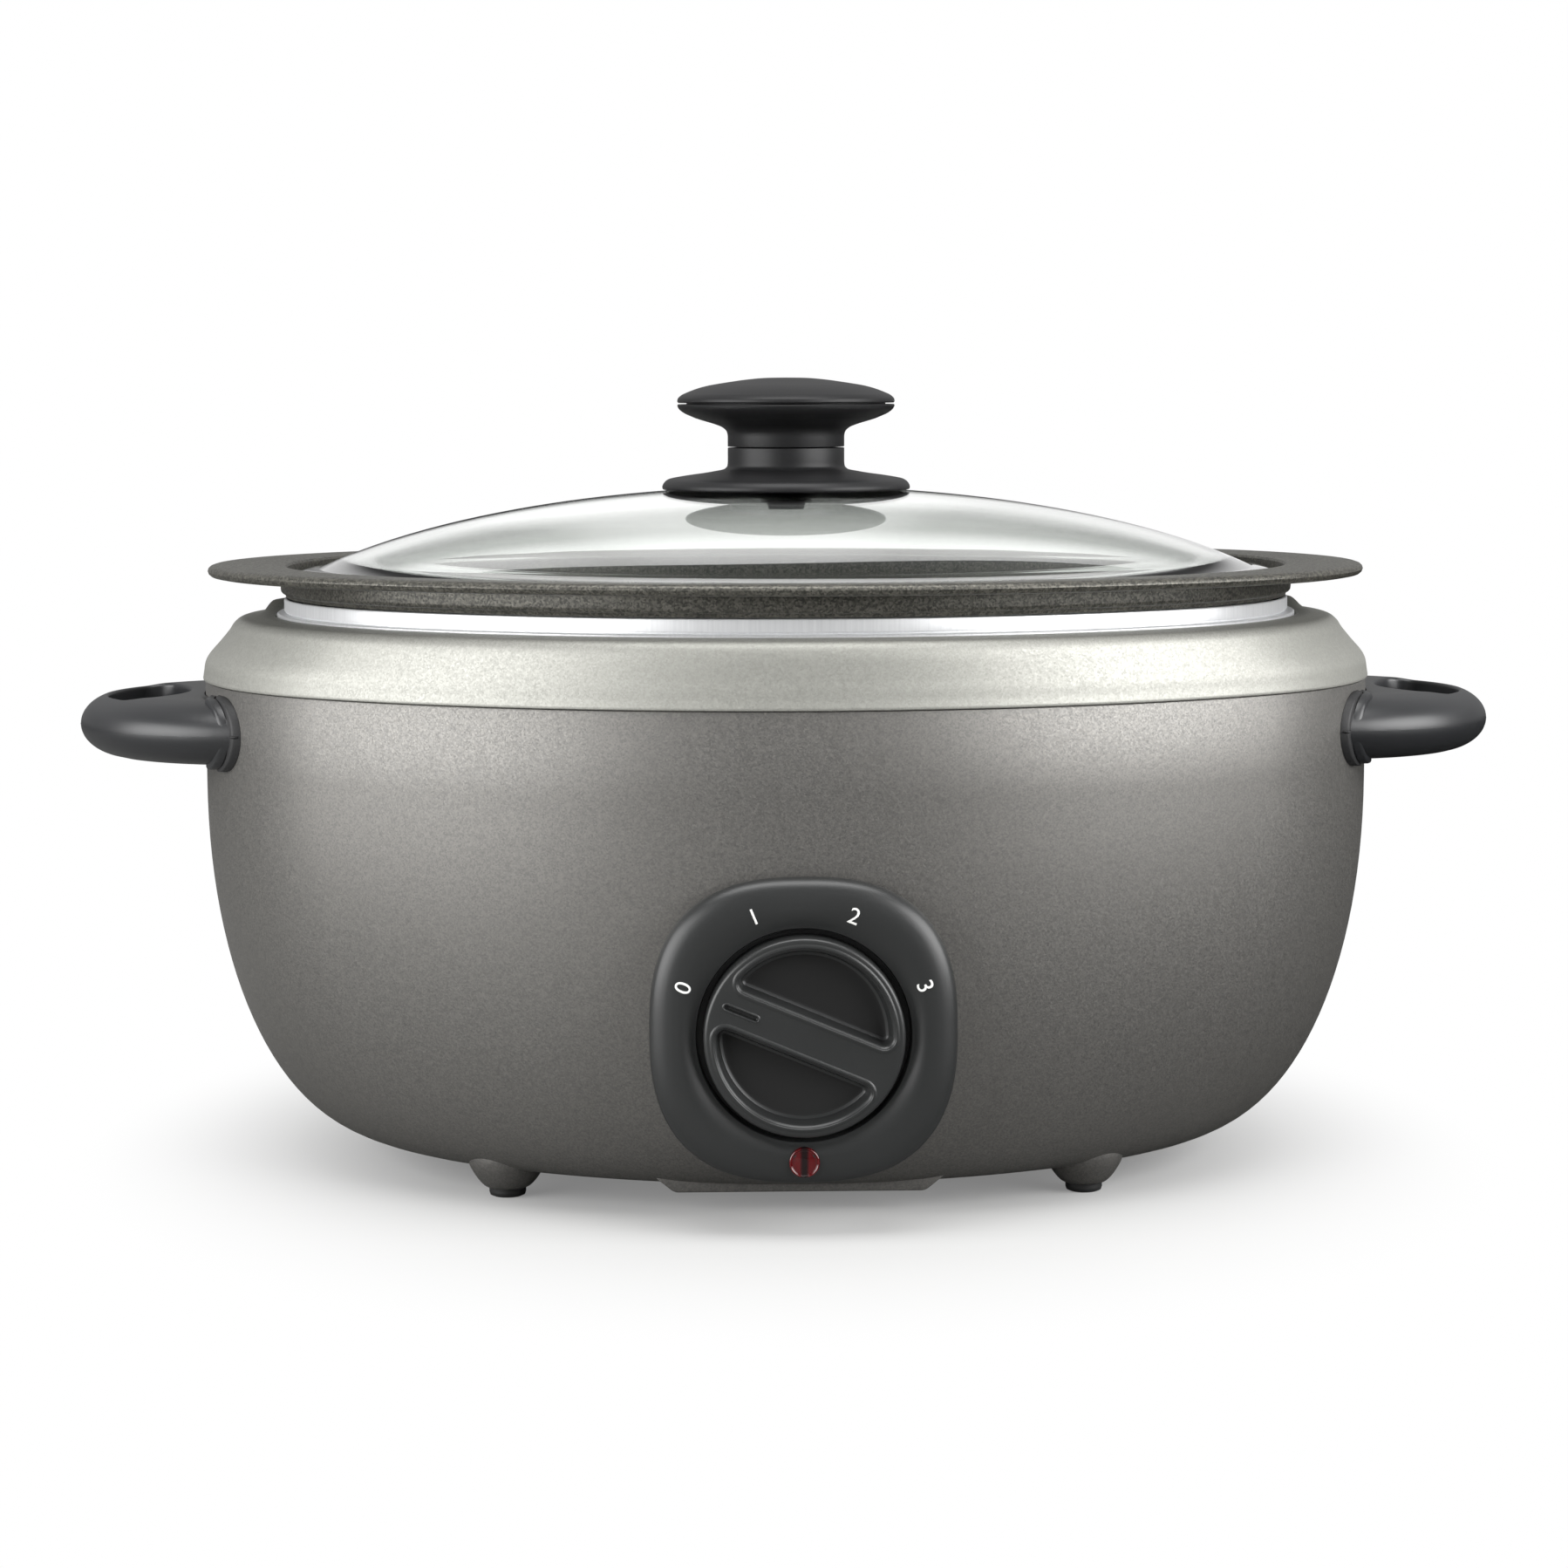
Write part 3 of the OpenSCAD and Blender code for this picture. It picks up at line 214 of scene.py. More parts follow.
add(tree, "OutputMaterial", links={"Surface": either.outputs[0]})
mesh.materials.append(paper_sweep)


def soft_box(name, spot, width, height, power, aim=(0, 0, 110), spread=180):
    """A rectangular lamp at spot, turned to face aim, with a grid that keeps its light within spread."""
    lamp = bpy.data.lights.new(name, "AREA")
    lamp.shape = "RECTANGLE"
    lamp.size, lamp.size_y = width * MM, height * MM
    lamp.energy = power
    lamp.spread = math.radians(spread)
    box = bpy.data.objects.new(name, lamp)
    box.location = Vector(spot) * MM
    box.rotation_euler = (Vector(spot) - Vector(aim)).to_track_quat("Z", "Y").to_euler()
    bpy.context.scene.collection.objects.link(box)


soft_box("soft_box_left", (-1160, -660, 350), 1500, 1100, 13.2, spread=120)
soft_box("soft_box_right", (1150, -670, 580), 1400, 900, 12.6, spread=120)
soft_box("soft_box_top", (0, -380, 1400), 1300, 700, 16)


# ---------------------------------------------------------------- lower body
# One deep-drawn steel bowl, sprayed with warm grey metal-flake paint. Its wall turns in to a flat
# underside with a mouth for the base plate, and it carries the flat seat of the control bezel,
# a low chin, four foot bosses and the boss of the cord gland.
shell_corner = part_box("outer_shell")[1] / MM
BODY_A = shell_corner.x
BODY_B = 143.0
SEAM_Z = shell_corner.z
SIDE_Z = 123.0
UNDER_Z = 9.0
WALL = 2.6
END_IN = 54.0
FRONT_IN = 30.0
END_SHARE = 1.09
CURVE_N = 1.05
ROUND = 240


def oval_point(a, b, turn):
    """The point of a four-arc oval whose outward normal is at the angle turn."""
    end = END_SHARE * b * b / a
    c, e = a - end, b - end
    d = (c * c - e * e) / (2 * e)
    if abs(math.sin(turn)) <= math.sin(math.atan2(d, c)):
        return math.copysign(c, math.cos(turn)) + end * math.cos(turn), end * math.sin(turn)
    return (b + d) * math.cos(turn), (b + d) * math.sin(turn) - math.copysign(d, math.sin(turn))


def skin(rings, points=ROUND, joined=True):
    """Extrudes a circle of vertices from ring to ring. Each ring turns an angle into a point, and
    joined runs the skin back from the last ring to the first."""
    bm = bmesh.new()
    turn = bm.verts.layers.float.new("turn")
    bmesh.ops.create_circle(bm, segments=points, radius=1)
    bm.verts.ensure_lookup_table()
    for vertex in bm.verts:
        vertex[turn] = math.atan2(vertex.co.y, vertex.co.x)
        vertex.co = rings[0](vertex[turn])
    edges = bm.edges[:]
    for ring in rings[1:] + rings[:1] * joined:
        grown = bmesh.ops.extrude_edge_only(bm, edges=edges)["geom"]
        edges = [part for part in grown if isinstance(part, bmesh.types.BMEdge) and part.is_boundary]
        for vertex in {v for edge in edges for v in edge.verts}:
            vertex.co = ring(vertex[turn])
    bmesh.ops.remove_doubles(bm, verts=bm.verts, dist=0.001)
    return bm


def oval(a, b, z, rise=None):
    """A ring for skin(): an oval at a height, which rise(x, y) may add to."""
    def ring(turn):
        x, y = oval_point(a, b, turn)
        return x, y, z + (rise(x, y) if rise else 0)
    return ring


def ovals(a, b, profile, rise=None):
    """Rings for skin(): an oval for each (inset, height) of a profile."""
    return [oval(a - inset, b - inset, z, rise) for inset, z in profile]


def piece(name, bm, material, body, slot, *nodes, sharp=32):
    """Finishes a mesh in millimetres as a smooth-shaded piece that rides on a body."""
    bmesh.ops.recalc_face_normals(bm, faces=bm.faces)
    bmesh.ops.scale(bm, vec=(MM, MM, MM), verts=bm.verts)
    for face in bm.faces:
        face.smooth = True
    for edge in bm.edges:
        edge.smooth = len(edge.link_faces) == 2 and edge.calc_face_angle(0) < math.radians(sharp)
    mesh = bpy.data.meshes.new(name)
    bm.to_mesh(mesh)
    bm.free()
    mesh.materials.append(material)
    made = bpy.data.objects.new(name, mesh)
    bpy.context.scene.collection.objects.link(made)
    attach(made, body)
    if nodes:
        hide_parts(*nodes)
    return made


def merge(bm, other):
    """Adds another mesh to bm as a separate island and frees it."""
    held = bpy.data.meshes.new("held")
    other.to_mesh(held)
    other.free()
    bm.from_mesh(held)
    bpy.data.meshes.remove(held)


def flake_paint(name, dark, light, grain, metallic, roughness):
    """Sprayed metal-flake lacquer: aluminium grains in a tinted coat, which sparkle a little grain by
    grain and leave the surface faintly pebbled."""
    material, tree = new_material(name)
    place = add(tree, "TexCoord")
    flakes = add(tree, "TexVoronoi", {"Scale": 1 / (grain * MM)}, {"Vector": place.outputs["Object"]})
    lot = add(tree, "SeparateColor", links={0: flakes.outputs["Color"]})
    clouds = add(tree, "TexNoise", {"Scale": 1 / (2.6 * grain * MM), "Detail": 2.0},
                 {"Vector": place.outputs["Object"]})
    amount = add(tree, "Mix", {0: 0.45}, {2: lot.outputs[0], 3: clouds.outputs["Fac"]}, data_type="FLOAT")
    spread = add(tree, "MapRange", between(0.1, 0.9), {"Value": amount.outputs[0]})
    tint = add(tree, "Mix", {6: linear(dark), 7: linear(light)}, {0: spread.outputs[0]}, data_type="RGBA")
    shine = add(tree, "MapRange", between(0, 1, roughness + 0.08, roughness - 0.08),
                {"Value": lot.outputs[1]})
    relief = add(tree, "Bump", {"Strength": 0.25, "Distance": 0.06 * MM}, {"Height": clouds.outputs["Fac"]})
    shader = add(tree, "BsdfPrincipled", {"Metallic": metallic},
                 {"Base Color": tint.outputs[2], "Roughness": shine.outputs[0], "Normal": relief.outputs[0]})
    add(tree, "OutputMaterial", links={"Surface": shader.outputs[0]})
    return material


def body_curve(wall, steps=30):
    """Rings down the wall from its straight side to the flat underside."""
    rings = []
    for i in range(steps + 1):
        p = math.pi / 2 * i / steps
        inward = 1 - max(0, math.cos(p)) ** (1 / CURVE_N)
        z = SIDE_Z - (SIDE_Z - UNDER_Z - wall) * math.sin(p) ** (1 / CURVE_N)
        rings.append(oval(BODY_A - wall - END_IN * inward, BODY_B - wall - FRONT_IN * inward, z))
    return rings


MOUTH_A, MOUTH_B = 88.0, 52.0
body_paint = flake_paint("grey_flake_lacquer", "#686765", "#807E7A", 0.45, 0.72, 0.46)
bm = skin(ovals(BODY_A, BODY_B, [(0, SIDE_Z + 6), (0, SEAM_Z - 0.8), (0.25, SEAM_Z - 0.25), (0.8, SEAM_Z),
                                 (WALL, SEAM_Z)])
          + body_curve(WALL)
          + ovals(MOUTH_A, MOUTH_B, [(0, UNDER_Z + WALL), (0, UNDER_Z)])
          + body_curve(0)[::-1])

# The bezel's seat: a squarish oval drawn out of the wall
BEZEL_W, BEZEL_H = 90.5, 90.5
BEZEL_X, BEZEL_Z = 0.0, 61.5
SQUARENESS = 2.6
PANEL_Y = -145.0
SEAT_BACK = -112.0


def squarish(inset, y):
    """A ring for skin(): the bezel's outline made smaller by inset, at a depth."""
    def ring(turn):
        c, s = math.cos(turn), math.sin(turn)
        x = (BEZEL_W / 2 - inset) * math.copysign(abs(c) ** (2 / SQUARENESS), c)
        z = (BEZEL_H / 2 - inset) * math.copysign(abs(s) ** (2 / SQUARENESS), s)
        return BEZEL_X + x, y, BEZEL_Z + z
    return ring


merge(bm, skin([squarish(3, SEAT_BACK), squarish(2, SEAT_BACK - 1), squarish(2, PANEL_Y + 0.6),
                squarish(2.4, PANEL_Y), squarish(8, PANEL_Y), squarish(8, SEAT_BACK)], points=120))

# The chin, a low block with leaning ends
CHIN_Y, CHIN_Z = -114.0, 6.6
CHIN_HALF, CHIN_DEEP, CHIN_H = 38.0, 24.0, 4.8
CHIN_LEAN = 6.0
chin = bmesh.new()
bmesh.ops.create_cube(chin, size=1)
bmesh.ops.scale(chin, vec=(2 * CHIN_HALF, CHIN_DEEP, CHIN_H), verts=chin.verts)
bmesh.ops.translate(chin, vec=(0, CHIN_Y + CHIN_DEEP / 2, CHIN_Z + CHIN_H / 2), verts=chin.verts)
for vertex in chin.verts:
    if vertex.co.z > CHIN_Z + 1:
        vertex.co.x += math.copysign(CHIN_LEAN, vertex.co.x)
corners = [e for e in chin.edges
           if abs(e.verts[0].co.y - e.verts[1].co.y) > 1 and e.verts[0].co.z < CHIN_Z + 1]
bmesh.ops.bevel(chin, geom=corners, offset=1.2, segments=4, profile=0.5, affect="EDGES", material=-1)
rim = [e for e in chin.edges if all(v.co.y < CHIN_Y + 0.1 for v in e.verts)]
bmesh.ops.bevel(chin, geom=rim, offset=0.5, segments=3, profile=0.5, affect="EDGES", material=-1)
merge(bm, chin)


def curve_through(points, steps=6):
    """Points of a smooth line through the given ones."""
    ends = [points[0], *points, points[-1]]
    line = []
    for p, q, r, s in zip(ends, ends[1:], ends[2:], ends[3:]):
        for i in range(steps):
            t = i / steps
            line.append(tuple(0.5 * (2 * b + (c - a) * t + (2 * a - 5 * b + 4 * c - d) * t * t
                                     + (3 * b - a - 3 * c + d) * t ** 3) for a, b, c, d in zip(p, q, r, s)))
    return line + [tuple(points[-1])]


def lathe(profile, steps=144, at=(0, 0)):
    """Spins a profile of (radius, height) points about an upright line."""
    bm = bmesh.new()
    line = [bm.verts.new((r, 0, z)) for r, z in profile]
    for p, q in zip(line, line[1:]):
        bm.edges.new((p, q))
    bmesh.ops.spin(bm, geom=bm.verts[:] + bm.edges[:], cent=(0, 0, 0), axis=(0, 0, 1), dvec=(0, 0, 0),
                   angle=2 * math.pi, steps=steps, use_merge=True, use_duplicate=False)
    bmesh.ops.remove_doubles(bm, verts=bm.verts, dist=0.001)
    bmesh.ops.translate(bm, vec=(*at, 0), verts=bm.verts)
    return bm


def tip_over(bm, degrees, x, z):
    """Turns a mesh that was made lying flat about the X axis, and moves it to x and z."""
    bmesh.ops.rotate(bm, cent=(0, 0, 0), matrix=Matrix.Rotation(math.radians(degrees), 3, "X"),
                     verts=bm.verts)
    bmesh.ops.translate(bm, vec=(x, 0, z), verts=bm.verts)


# A foot boss: a cone that narrows to a skirt round its rubber pad
FOOT_X, FOOT_Y = 89.5, 83.5
FOOT_R, FOOT_TOP = 12.6, 19.0
PAD_R, PAD_H = 5.7, 4.2
SKIRT_Z = 3.1
foot = [(0, PAD_H), (PAD_R + 0.1, PAD_H), (PAD_R + 0.1, SKIRT_Z)]
foot += curve_through([(PAD_R + 0.5, SKIRT_Z - 0.3), (7.4, 3.5), (9.0, 5.2), (10.6, 7.6), (11.9, 10.2),
                       (FOOT_R, 13.4), (FOOT_R, FOOT_TOP)])
foot += [(0, FOOT_TOP)]
for sx in (-1, 1):
    for sy in (-1, 1):
        merge(bm, lathe(foot, 48, (sx * FOOT_X, sy * FOOT_Y)))

# The flat boss of the cord gland, at the back
GLAND_X, GLAND_Z = 62.0, 60.0
GLAND_R = 13.0
GLAND_IN, GLAND_OUT = 118.0, 143.6
boss = lathe([(0, GLAND_IN), (GLAND_R, GLAND_IN), (GLAND_R, GLAND_OUT - 0.4), (GLAND_R - 0.4, GLAND_OUT),
              (0, GLAND_OUT)], 64)
tip_over(boss, -90, GLAND_X, GLAND_Z)
merge(bm, boss)
piece("lower_body", bm, body_paint, "housing", "titanium_paint", "outer_shell")


# ---------------------------------------------------------------- collar
# A moulded ring in champagne lacquer that drops into the body's mouth. Its face leans in a little,
# its ends have a sloping shoulder, and a low lip runs round the back of the deck.
COLLAR_A, COLLAR_B = BODY_A + 0.7, BODY_B + 0.7
DECK_Z = 175.8
BORE_A, BORE_B = 166.1, 132.5
SEAT_A, SEAT_B = 163.9, 130.6
LEDGE_Z = 172.9
LEDGE_LOW = 170.5
LIP_RISE = 3.0
TONGUE, TONGUE_T = 3.6, 2.0
TONGUE_LOW = SEAM_Z - 8


def back_lip(x, y):
    """How far the deck's lip stands up: nothing in front, full height behind."""
    t = min(1, max(0, (y - 6) / 18))
    return LIP_RISE * t * t * (3 - 2 * t)


face = curve_through([(0, 0, SEAM_Z + 0.8), (0.35, 0.35, 158), (0.9, 0.6, 161.0), (2.4, 0.9, 163.6),
                      (5.6, 1.2, 167.2), (8.6, 1.6, 170.8), (10.2, 2.4, 173.2), (12.4, 3.8, 174.9),
                      (15.5, 5.4, DECK_Z - 0.35)], 5)
bm = skin(ovals(COLLAR_A, COLLAR_B, [(0.5, SEAM_Z + 0.05), (0.1, SEAM_Z + 0.3)])
          + [oval(COLLAR_A - da, COLLAR_B - db, z) for da, db, z in face]
          + [oval(BORE_A + 6.1, BORE_B + 4.7, DECK_Z - 0.1),
             oval(BORE_A + 5.4, BORE_B + 4.0, DECK_Z, back_lip),
             oval(BORE_A + 4.6, BORE_B + 3.4, DECK_Z + 0.1, back_lip)]
          + ovals(BORE_A, BORE_B, [(-0.7, DECK_Z), (-0.15, DECK_Z - 0.3), (0, DECK_Z - 0.9)], back_lip)
          + [oval(BORE_A, BORE_B, LEDGE_Z), oval(SEAT_A, SEAT_B, LEDGE_Z), oval(SEAT_A, SEAT_B, LEDGE_LOW)]
          + ovals(BORE_A, BORE_B, [(-2.2, LEDGE_LOW), (-2.2, LEDGE_Z + 0.3)])
          + [oval(COLLAR_A - 12, COLLAR_B - 4.5, 170), oval(COLLAR_A - 4.6, COLLAR_B - 3.4, 162)]
          + ovals(COLLAR_A, COLLAR_B, [(TONGUE + TONGUE_T, SEAM_Z + 3), (TONGUE + TONGUE_T, TONGUE_LOW),
                                       (TONGUE, TONGUE_LOW), (TONGUE, SEAM_Z + 0.05)]))
collar_paint = flake_paint("champagne_flake_lacquer", "#94948E", "#A6A6A0", 0.5, 0.58, 0.50)
piece("collar", bm, collar_paint, "housing", "champagne_paint", "collar_ring")


# ---------------------------------------------------------------- heating liner
# The bowl that carries the pot, rolled from bright aluminium sheet. It hangs on the collar's ledge by
# a bead with a groove over it, and only its upright rim shows.
LINER_A, LINER_B = 163.3, 130.0
LINER_TOP = 181.2
LINER_LOW = 46.2
CORNER_IN, CORNER_H = 14.0, 20.0
SHEET = 1.2


def rolled_sheet():
    """Bright aluminium sheet: silvery, with hair-fine upright drawing marks."""
    material, tree = new_material("bright_rolled_aluminium")
    place = add(tree, "TexCoord")
    drawn = add(tree, "Mapping", {"Scale": (1.0, 1.0, 0.03)}, {"Vector": place.outputs["Object"]})
    marks = add(tree, "TexNoise", {"Scale": 1 / (0.9 * MM), "Detail": 3.0}, {"Vector": drawn.outputs[0]})
    tint = add(tree, "Mix", {6: linear("#DADBDD"), 7: linear("#F3F4F5")}, {0: marks.outputs["Fac"]},
               data_type="RGBA")
    rough = add(tree, "MapRange", between(0, 1, 0.30, 0.42), {"Value": marks.outputs["Fac"]})
    relief = add(tree, "Bump", {"Strength": 0.12, "Distance": 0.03 * MM}, {"Height": marks.outputs["Fac"]})
    shader = add(tree, "BsdfPrincipled", {"Metallic": 0.5},
                 {"Base Color": tint.outputs[2], "Roughness": rough.outputs[0], "Normal": relief.outputs[0]})
    add(tree, "OutputMaterial", links={"Surface": shader.outputs[0]})
    return material


def bowl_corner(inset, low, steps=8, width=17, height=20):
    """Insets and heights down a bowl's rounded lower corner."""
    return [(inset + width * (1 - math.cos(t)), low + height * (1 - math.sin(t)))
            for t in (math.pi / 2 * i / steps for i in range(steps + 1))]


outside = [(0.0, LEDGE_Z)] + bowl_corner(CORNER_IN, LINER_LOW)
inside = [(SHEET, LEDGE_Z)] + bowl_corner(CORNER_IN + SHEET, LINER_LOW + SHEET, height=CORNER_H - SHEET)
bead = [(-2.1, 0), (-2.3, 0.4), (-2.3, 3.3), (-1.9, 3.65), (-0.5, 3.7), (0.6, 3.75), (0.6, 4.3), (0, 4.4)]
rim = [(0, LINER_TOP - 0.7), (0.2, LINER_TOP - 0.2), (0.6, LINER_TOP), (SHEET, LINER_TOP - 0.1)]
profile = outside[::-1] + [(inset, LEDGE_Z + z) for inset, z in bead] + rim + inside
bm = skin(ovals(LINER_A, LINER_B, profile), joined=False)
bmesh.ops.holes_fill(bm, edges=[edge for edge in bm.edges if edge.is_boundary], sides=0)
piece("liner", bm, rolled_sheet(), "housing", "liner_sheet", "heating_liner")


# ---------------------------------------------------------------- cooking pot
# Cast aluminium with a dark hammered non-stick coat, sprayed on thick so that it dries in fine pebbles.
# A stepped band stands on the liner's rim and a wide flange over it runs out into a lip at each end.
POT_A, POT_B = 187.7, 143.0
STEP_A, STEP_B = 164.3, 133.0
STEP_Z = LINER_TOP + 0.3
FLANGE_Z, FLANGE_T = 188.3, 3.6
FLANGE_TOP = FLANGE_Z + FLANGE_T
RECESS_IN = 2.2
REST_Z = FLANGE_TOP - 5.0
MOUTH_IN = RECESS_IN + 6.8
POT_WALL = 2.5
POT_FLOOR = 61.9
POT_CORNER_IN, POT_CORNER_W, POT_CORNER_H = 17.0, 15.0, 16.0


def hammered_coat():
    """Hammered non-stick coat: near-black warm brown with aluminium-bronze pebbles under a millimetre wide,
    each of which throws its own small glint."""
    material, tree = new_material("hammered_nonstick")
    place = add(tree, "TexCoord")
    pebbles = add(tree, "TexVoronoi", {"Scale": 1 / (0.6 * MM)}, {"Vector": place.outputs["Object"]})
    lot = add(tree, "SeparateColor", links={0: pebbles.outputs["Color"]})
    mottle = add(tree, "TexNoise", {"Scale": 1 / (1.0 * MM), "Detail": 3.0},
                 {"Vector": place.outputs["Object"]})
    both = add(tree, "Mix", {0: 0.5}, {2: lot.outputs[0], 3: mottle.outputs["Fac"]}, data_type="FLOAT")
    lift = add(tree, "MapRange", between(0.3, 0.85), {"Value": both.outputs[0]})
    tint = add(tree, "Mix", {6: linear("#393834"), 7: linear("#6D6B63")}, {0: lift.outputs[0]},
               data_type="RGBA")
    rough = add(tree, "MapRange", between(0, 1, 0.46, 0.30), {"Value": lot.outputs[1]})
    relief = add(tree, "Bump", {"Strength": 0.3, "Distance": 0.1 * MM}, {"Height": both.outputs[0]})
    shader = add(tree, "BsdfPrincipled", {"Metallic": 0.45},
                 {"Base Color": tint.outputs[2], "Roughness": rough.outputs[0], "Normal": relief.outputs[0]})
    add(tree, "OutputMaterial", links={"Surface": shader.outputs[0]})
    return material


flange_mid = FLANGE_Z + FLANGE_T / 2
step = [(MOUTH_IN - POT_WALL, STEP_Z), (2.4, STEP_Z), (1.7, STEP_Z + 0.15), (1.5, STEP_Z + 0.7),
        (1.2, STEP_Z + 1.2), (0.5, STEP_Z + 1.5), (0.1, STEP_Z + 2.0), (0, STEP_Z + 2.8), (0, FLANGE_Z - 0.5),
        (-0.4, FLANGE_Z)]
lip = [(2.4, FLANGE_Z), (1.1, FLANGE_Z + 0.25), (0.35, FLANGE_Z + 0.9), (0.02, flange_mid),
       (0.25, flange_mid + 0.8), (0.9, FLANGE_TOP - 0.4), (1.9, FLANGE_TOP - 0.06), (3.0, FLANGE_TOP)]
recess = [(RECESS_IN - 1.8, FLANGE_TOP), (RECESS_IN - 0.7, FLANGE_TOP - 0.25),
          (RECESS_IN - 0.1, FLANGE_TOP - 0.9), (RECESS_IN, FLANGE_TOP - 1.6), (RECESS_IN, REST_Z + 0.6),
          (RECESS_IN + 0.6, REST_Z), (MOUTH_IN - 1.2, REST_Z), (MOUTH_IN - 0.3, REST_Z - 0.3),
          (MOUTH_IN, REST_Z - 1.2)]
outside = bowl_corner(MOUTH_IN - POT_WALL + POT_CORNER_IN, POT_FLOOR - POT_WALL, width=POT_CORNER_W,
                      height=POT_CORNER_H + POT_WALL)
inside = bowl_corner(MOUTH_IN + POT_CORNER_IN, POT_FLOOR, width=POT_CORNER_W, height=POT_CORNER_H)
bm = skin(ovals(STEP_A, STEP_B, outside[::-1] + step) + ovals(POT_A, POT_B, lip)
          + ovals(STEP_A, STEP_B, recess + inside), joined=False)
bmesh.ops.holes_fill(bm, edges=[edge for edge in bm.edges if edge.is_boundary], sides=0)
piece("pot", bm, hammered_coat(), "pot", "nonstick_coat", "cooking_pot")


# ---------------------------------------------------------------- glass lid
# A tempered glass dome, four millimetres thick, faintly green, with a flat ground rim that lies in the
# pot's recess and a hole at the crown for the knob's screw.
GLASS_A, GLASS_B = 159.8, 127.0
GLASS_LOW = REST_Z + 0.3
RIM_T = 3.4
CROWN_Z = 216.4
GLASS_T = 4.0
DOME_R = GLASS_A - 8.0
DOME_H = CROWN_Z - GLASS_LOW - RIM_T
SPAN = 1.217
HOLE_R = 4.0


def dome(r):
    """Height of the dome's outside at a distance from the middle, along the long axis."""
    rise = DOME_H / (1 - math.sqrt(1 - (1 / SPAN) ** 2))
    return CROWN_Z - rise * (1 - math.sqrt(1 - (r / (DOME_R * SPAN)) ** 2))


def round_oval(a, z):
    """A ring for skin(): a plain ellipse of the glass's proportions."""
    def ring(turn):
        return a * math.cos(turn), a * GLASS_B / GLASS_A * math.sin(turn), z
    return ring


def clear_glass():
    """Tempered soda-lime glass: colourless face on, a little green where a ray runs through much of it."""
    material, tree = new_material("tempered_glass")
    shader = add(tree, "BsdfPrincipled", {"Base Color": linear("#F9FCF9"), "Roughness": 0.0, "IOR": 1.45,
                                          "Transmission Weight": 1.0})
    add(tree, "OutputMaterial", links={"Surface": shader.outputs[0]})
    return material


steps = [i / 26 for i in range(27)]
over = [(HOLE_R + (DOME_R - HOLE_R) * t, dome(HOLE_R + (DOME_R - HOLE_R) * t)) for t in steps]
edge = curve_through([(DOME_R, dome(DOME_R)), (GLASS_A - 4, GLASS_LOW + RIM_T - 0.35),
                      (GLASS_A - 1.2, GLASS_LOW + RIM_T - 1.0), (GLASS_A, GLASS_LOW + RIM_T / 2),
                      (GLASS_A - 1.1, GLASS_LOW + 0.3), (GLASS_A - 3, GLASS_LOW)], 4)
under = [(r - GLASS_T * t * t, max(GLASS_LOW, z - GLASS_T)) for t, (r, z) in zip(steps, over)]
bm = skin([round_oval(r, z) for r, z in over[:-1] + edge + under[::-1]])
piece("glass", bm, clear_glass(), "lid", "lid_glass", "lid_glass", sharp=50)


# ---------------------------------------------------------------- knob
# Three phenolic mouldings on one screw: a base disc that sits on the glass, a flared grip, and a
# crowned cap. Hair-wide gaps show where they meet.
KNOB_R, BASE_R, NECK_R = 35.4, 40.4, 19.0
KNOB_TOP = CROWN_Z + 35.3
PARTING_Z = KNOB_TOP - 8.6
SPLIT_Z = CROWN_Z + 12.9
PART_GAP = 0.45


def moulded_plastic(name, colour, rough, grain, gloss=0.5):
    """Moulded plastic from a spark-eroded tool: satin, with a fine even grain and no pattern of its own."""
    material, tree = new_material(name)
    place = add(tree, "TexCoord")
    grit = add(tree, "TexNoise", {"Scale": 1 / (grain * MM), "Detail": 2.0},
               {"Vector": place.outputs["Object"]})
    wide = add(tree, "TexNoise", {"Scale": 1 / (38 * MM), "Detail": 2.0}, {"Vector": place.outputs["Object"]})
    mix = add(tree, "Mix", {0: 0.5}, {2: grit.outputs["Fac"], 3: wide.outputs["Fac"]}, data_type="FLOAT")
    shade = add(tree, "MapRange", between(0.3, 0.7, 0.86, 1.12), {"Value": mix.outputs[0]})
    tint = add(tree, "VectorMath", {0: linear(colour)[:3]}, {"Scale": shade.outputs[0]}, operation="SCALE")
    sheen = add(tree, "MapRange", between(0, 1, rough - 0.05, rough + 0.05), {"Value": grit.outputs["Fac"]})
    relief = add(tree, "Bump", {"Strength": 0.2, "Distance": 0.04 * MM}, {"Height": grit.outputs["Fac"]})
    shader = add(tree, "BsdfPrincipled", {"IOR": 1.52, "Specular IOR Level": gloss},
                 {"Base Color": tint.outputs[0], "Roughness": sheen.outputs[0], "Normal": relief.outputs[0]})
    add(tree, "OutputMaterial", links={"Surface": shader.outputs[0]})
    return material


charcoal = moulded_plastic("charcoal_phenolic", "#1F1F20", 0.44, 0.5, 0.28)
parting = PARTING_Z + PART_GAP
top = [(0, 1.0), (7, 0.985), (12.9, 0.92), (17.4, 0.845), (21.4, 0.77), (24.7, 0.70), (27, 0.635),
       (29.1, 0.56), (30.8, 0.485), (32.3, 0.41), (33.6, 0.34), (34.5, 0.265), (35.1, 0.19), (35.35, 0.12),
       (KNOB_R, 0.05)]
cap = [(0, parting - 1), (KNOB_R - 3, parting - 1), (KNOB_R - 3, parting), (KNOB_R - 0.3, parting)]
cap += curve_through([(r, parting + (KNOB_TOP - parting) * h) for r, h in top[::-1]])
piece("cap", lathe(cap), charcoal, "lid", "knob_plastic", "knob_cap")

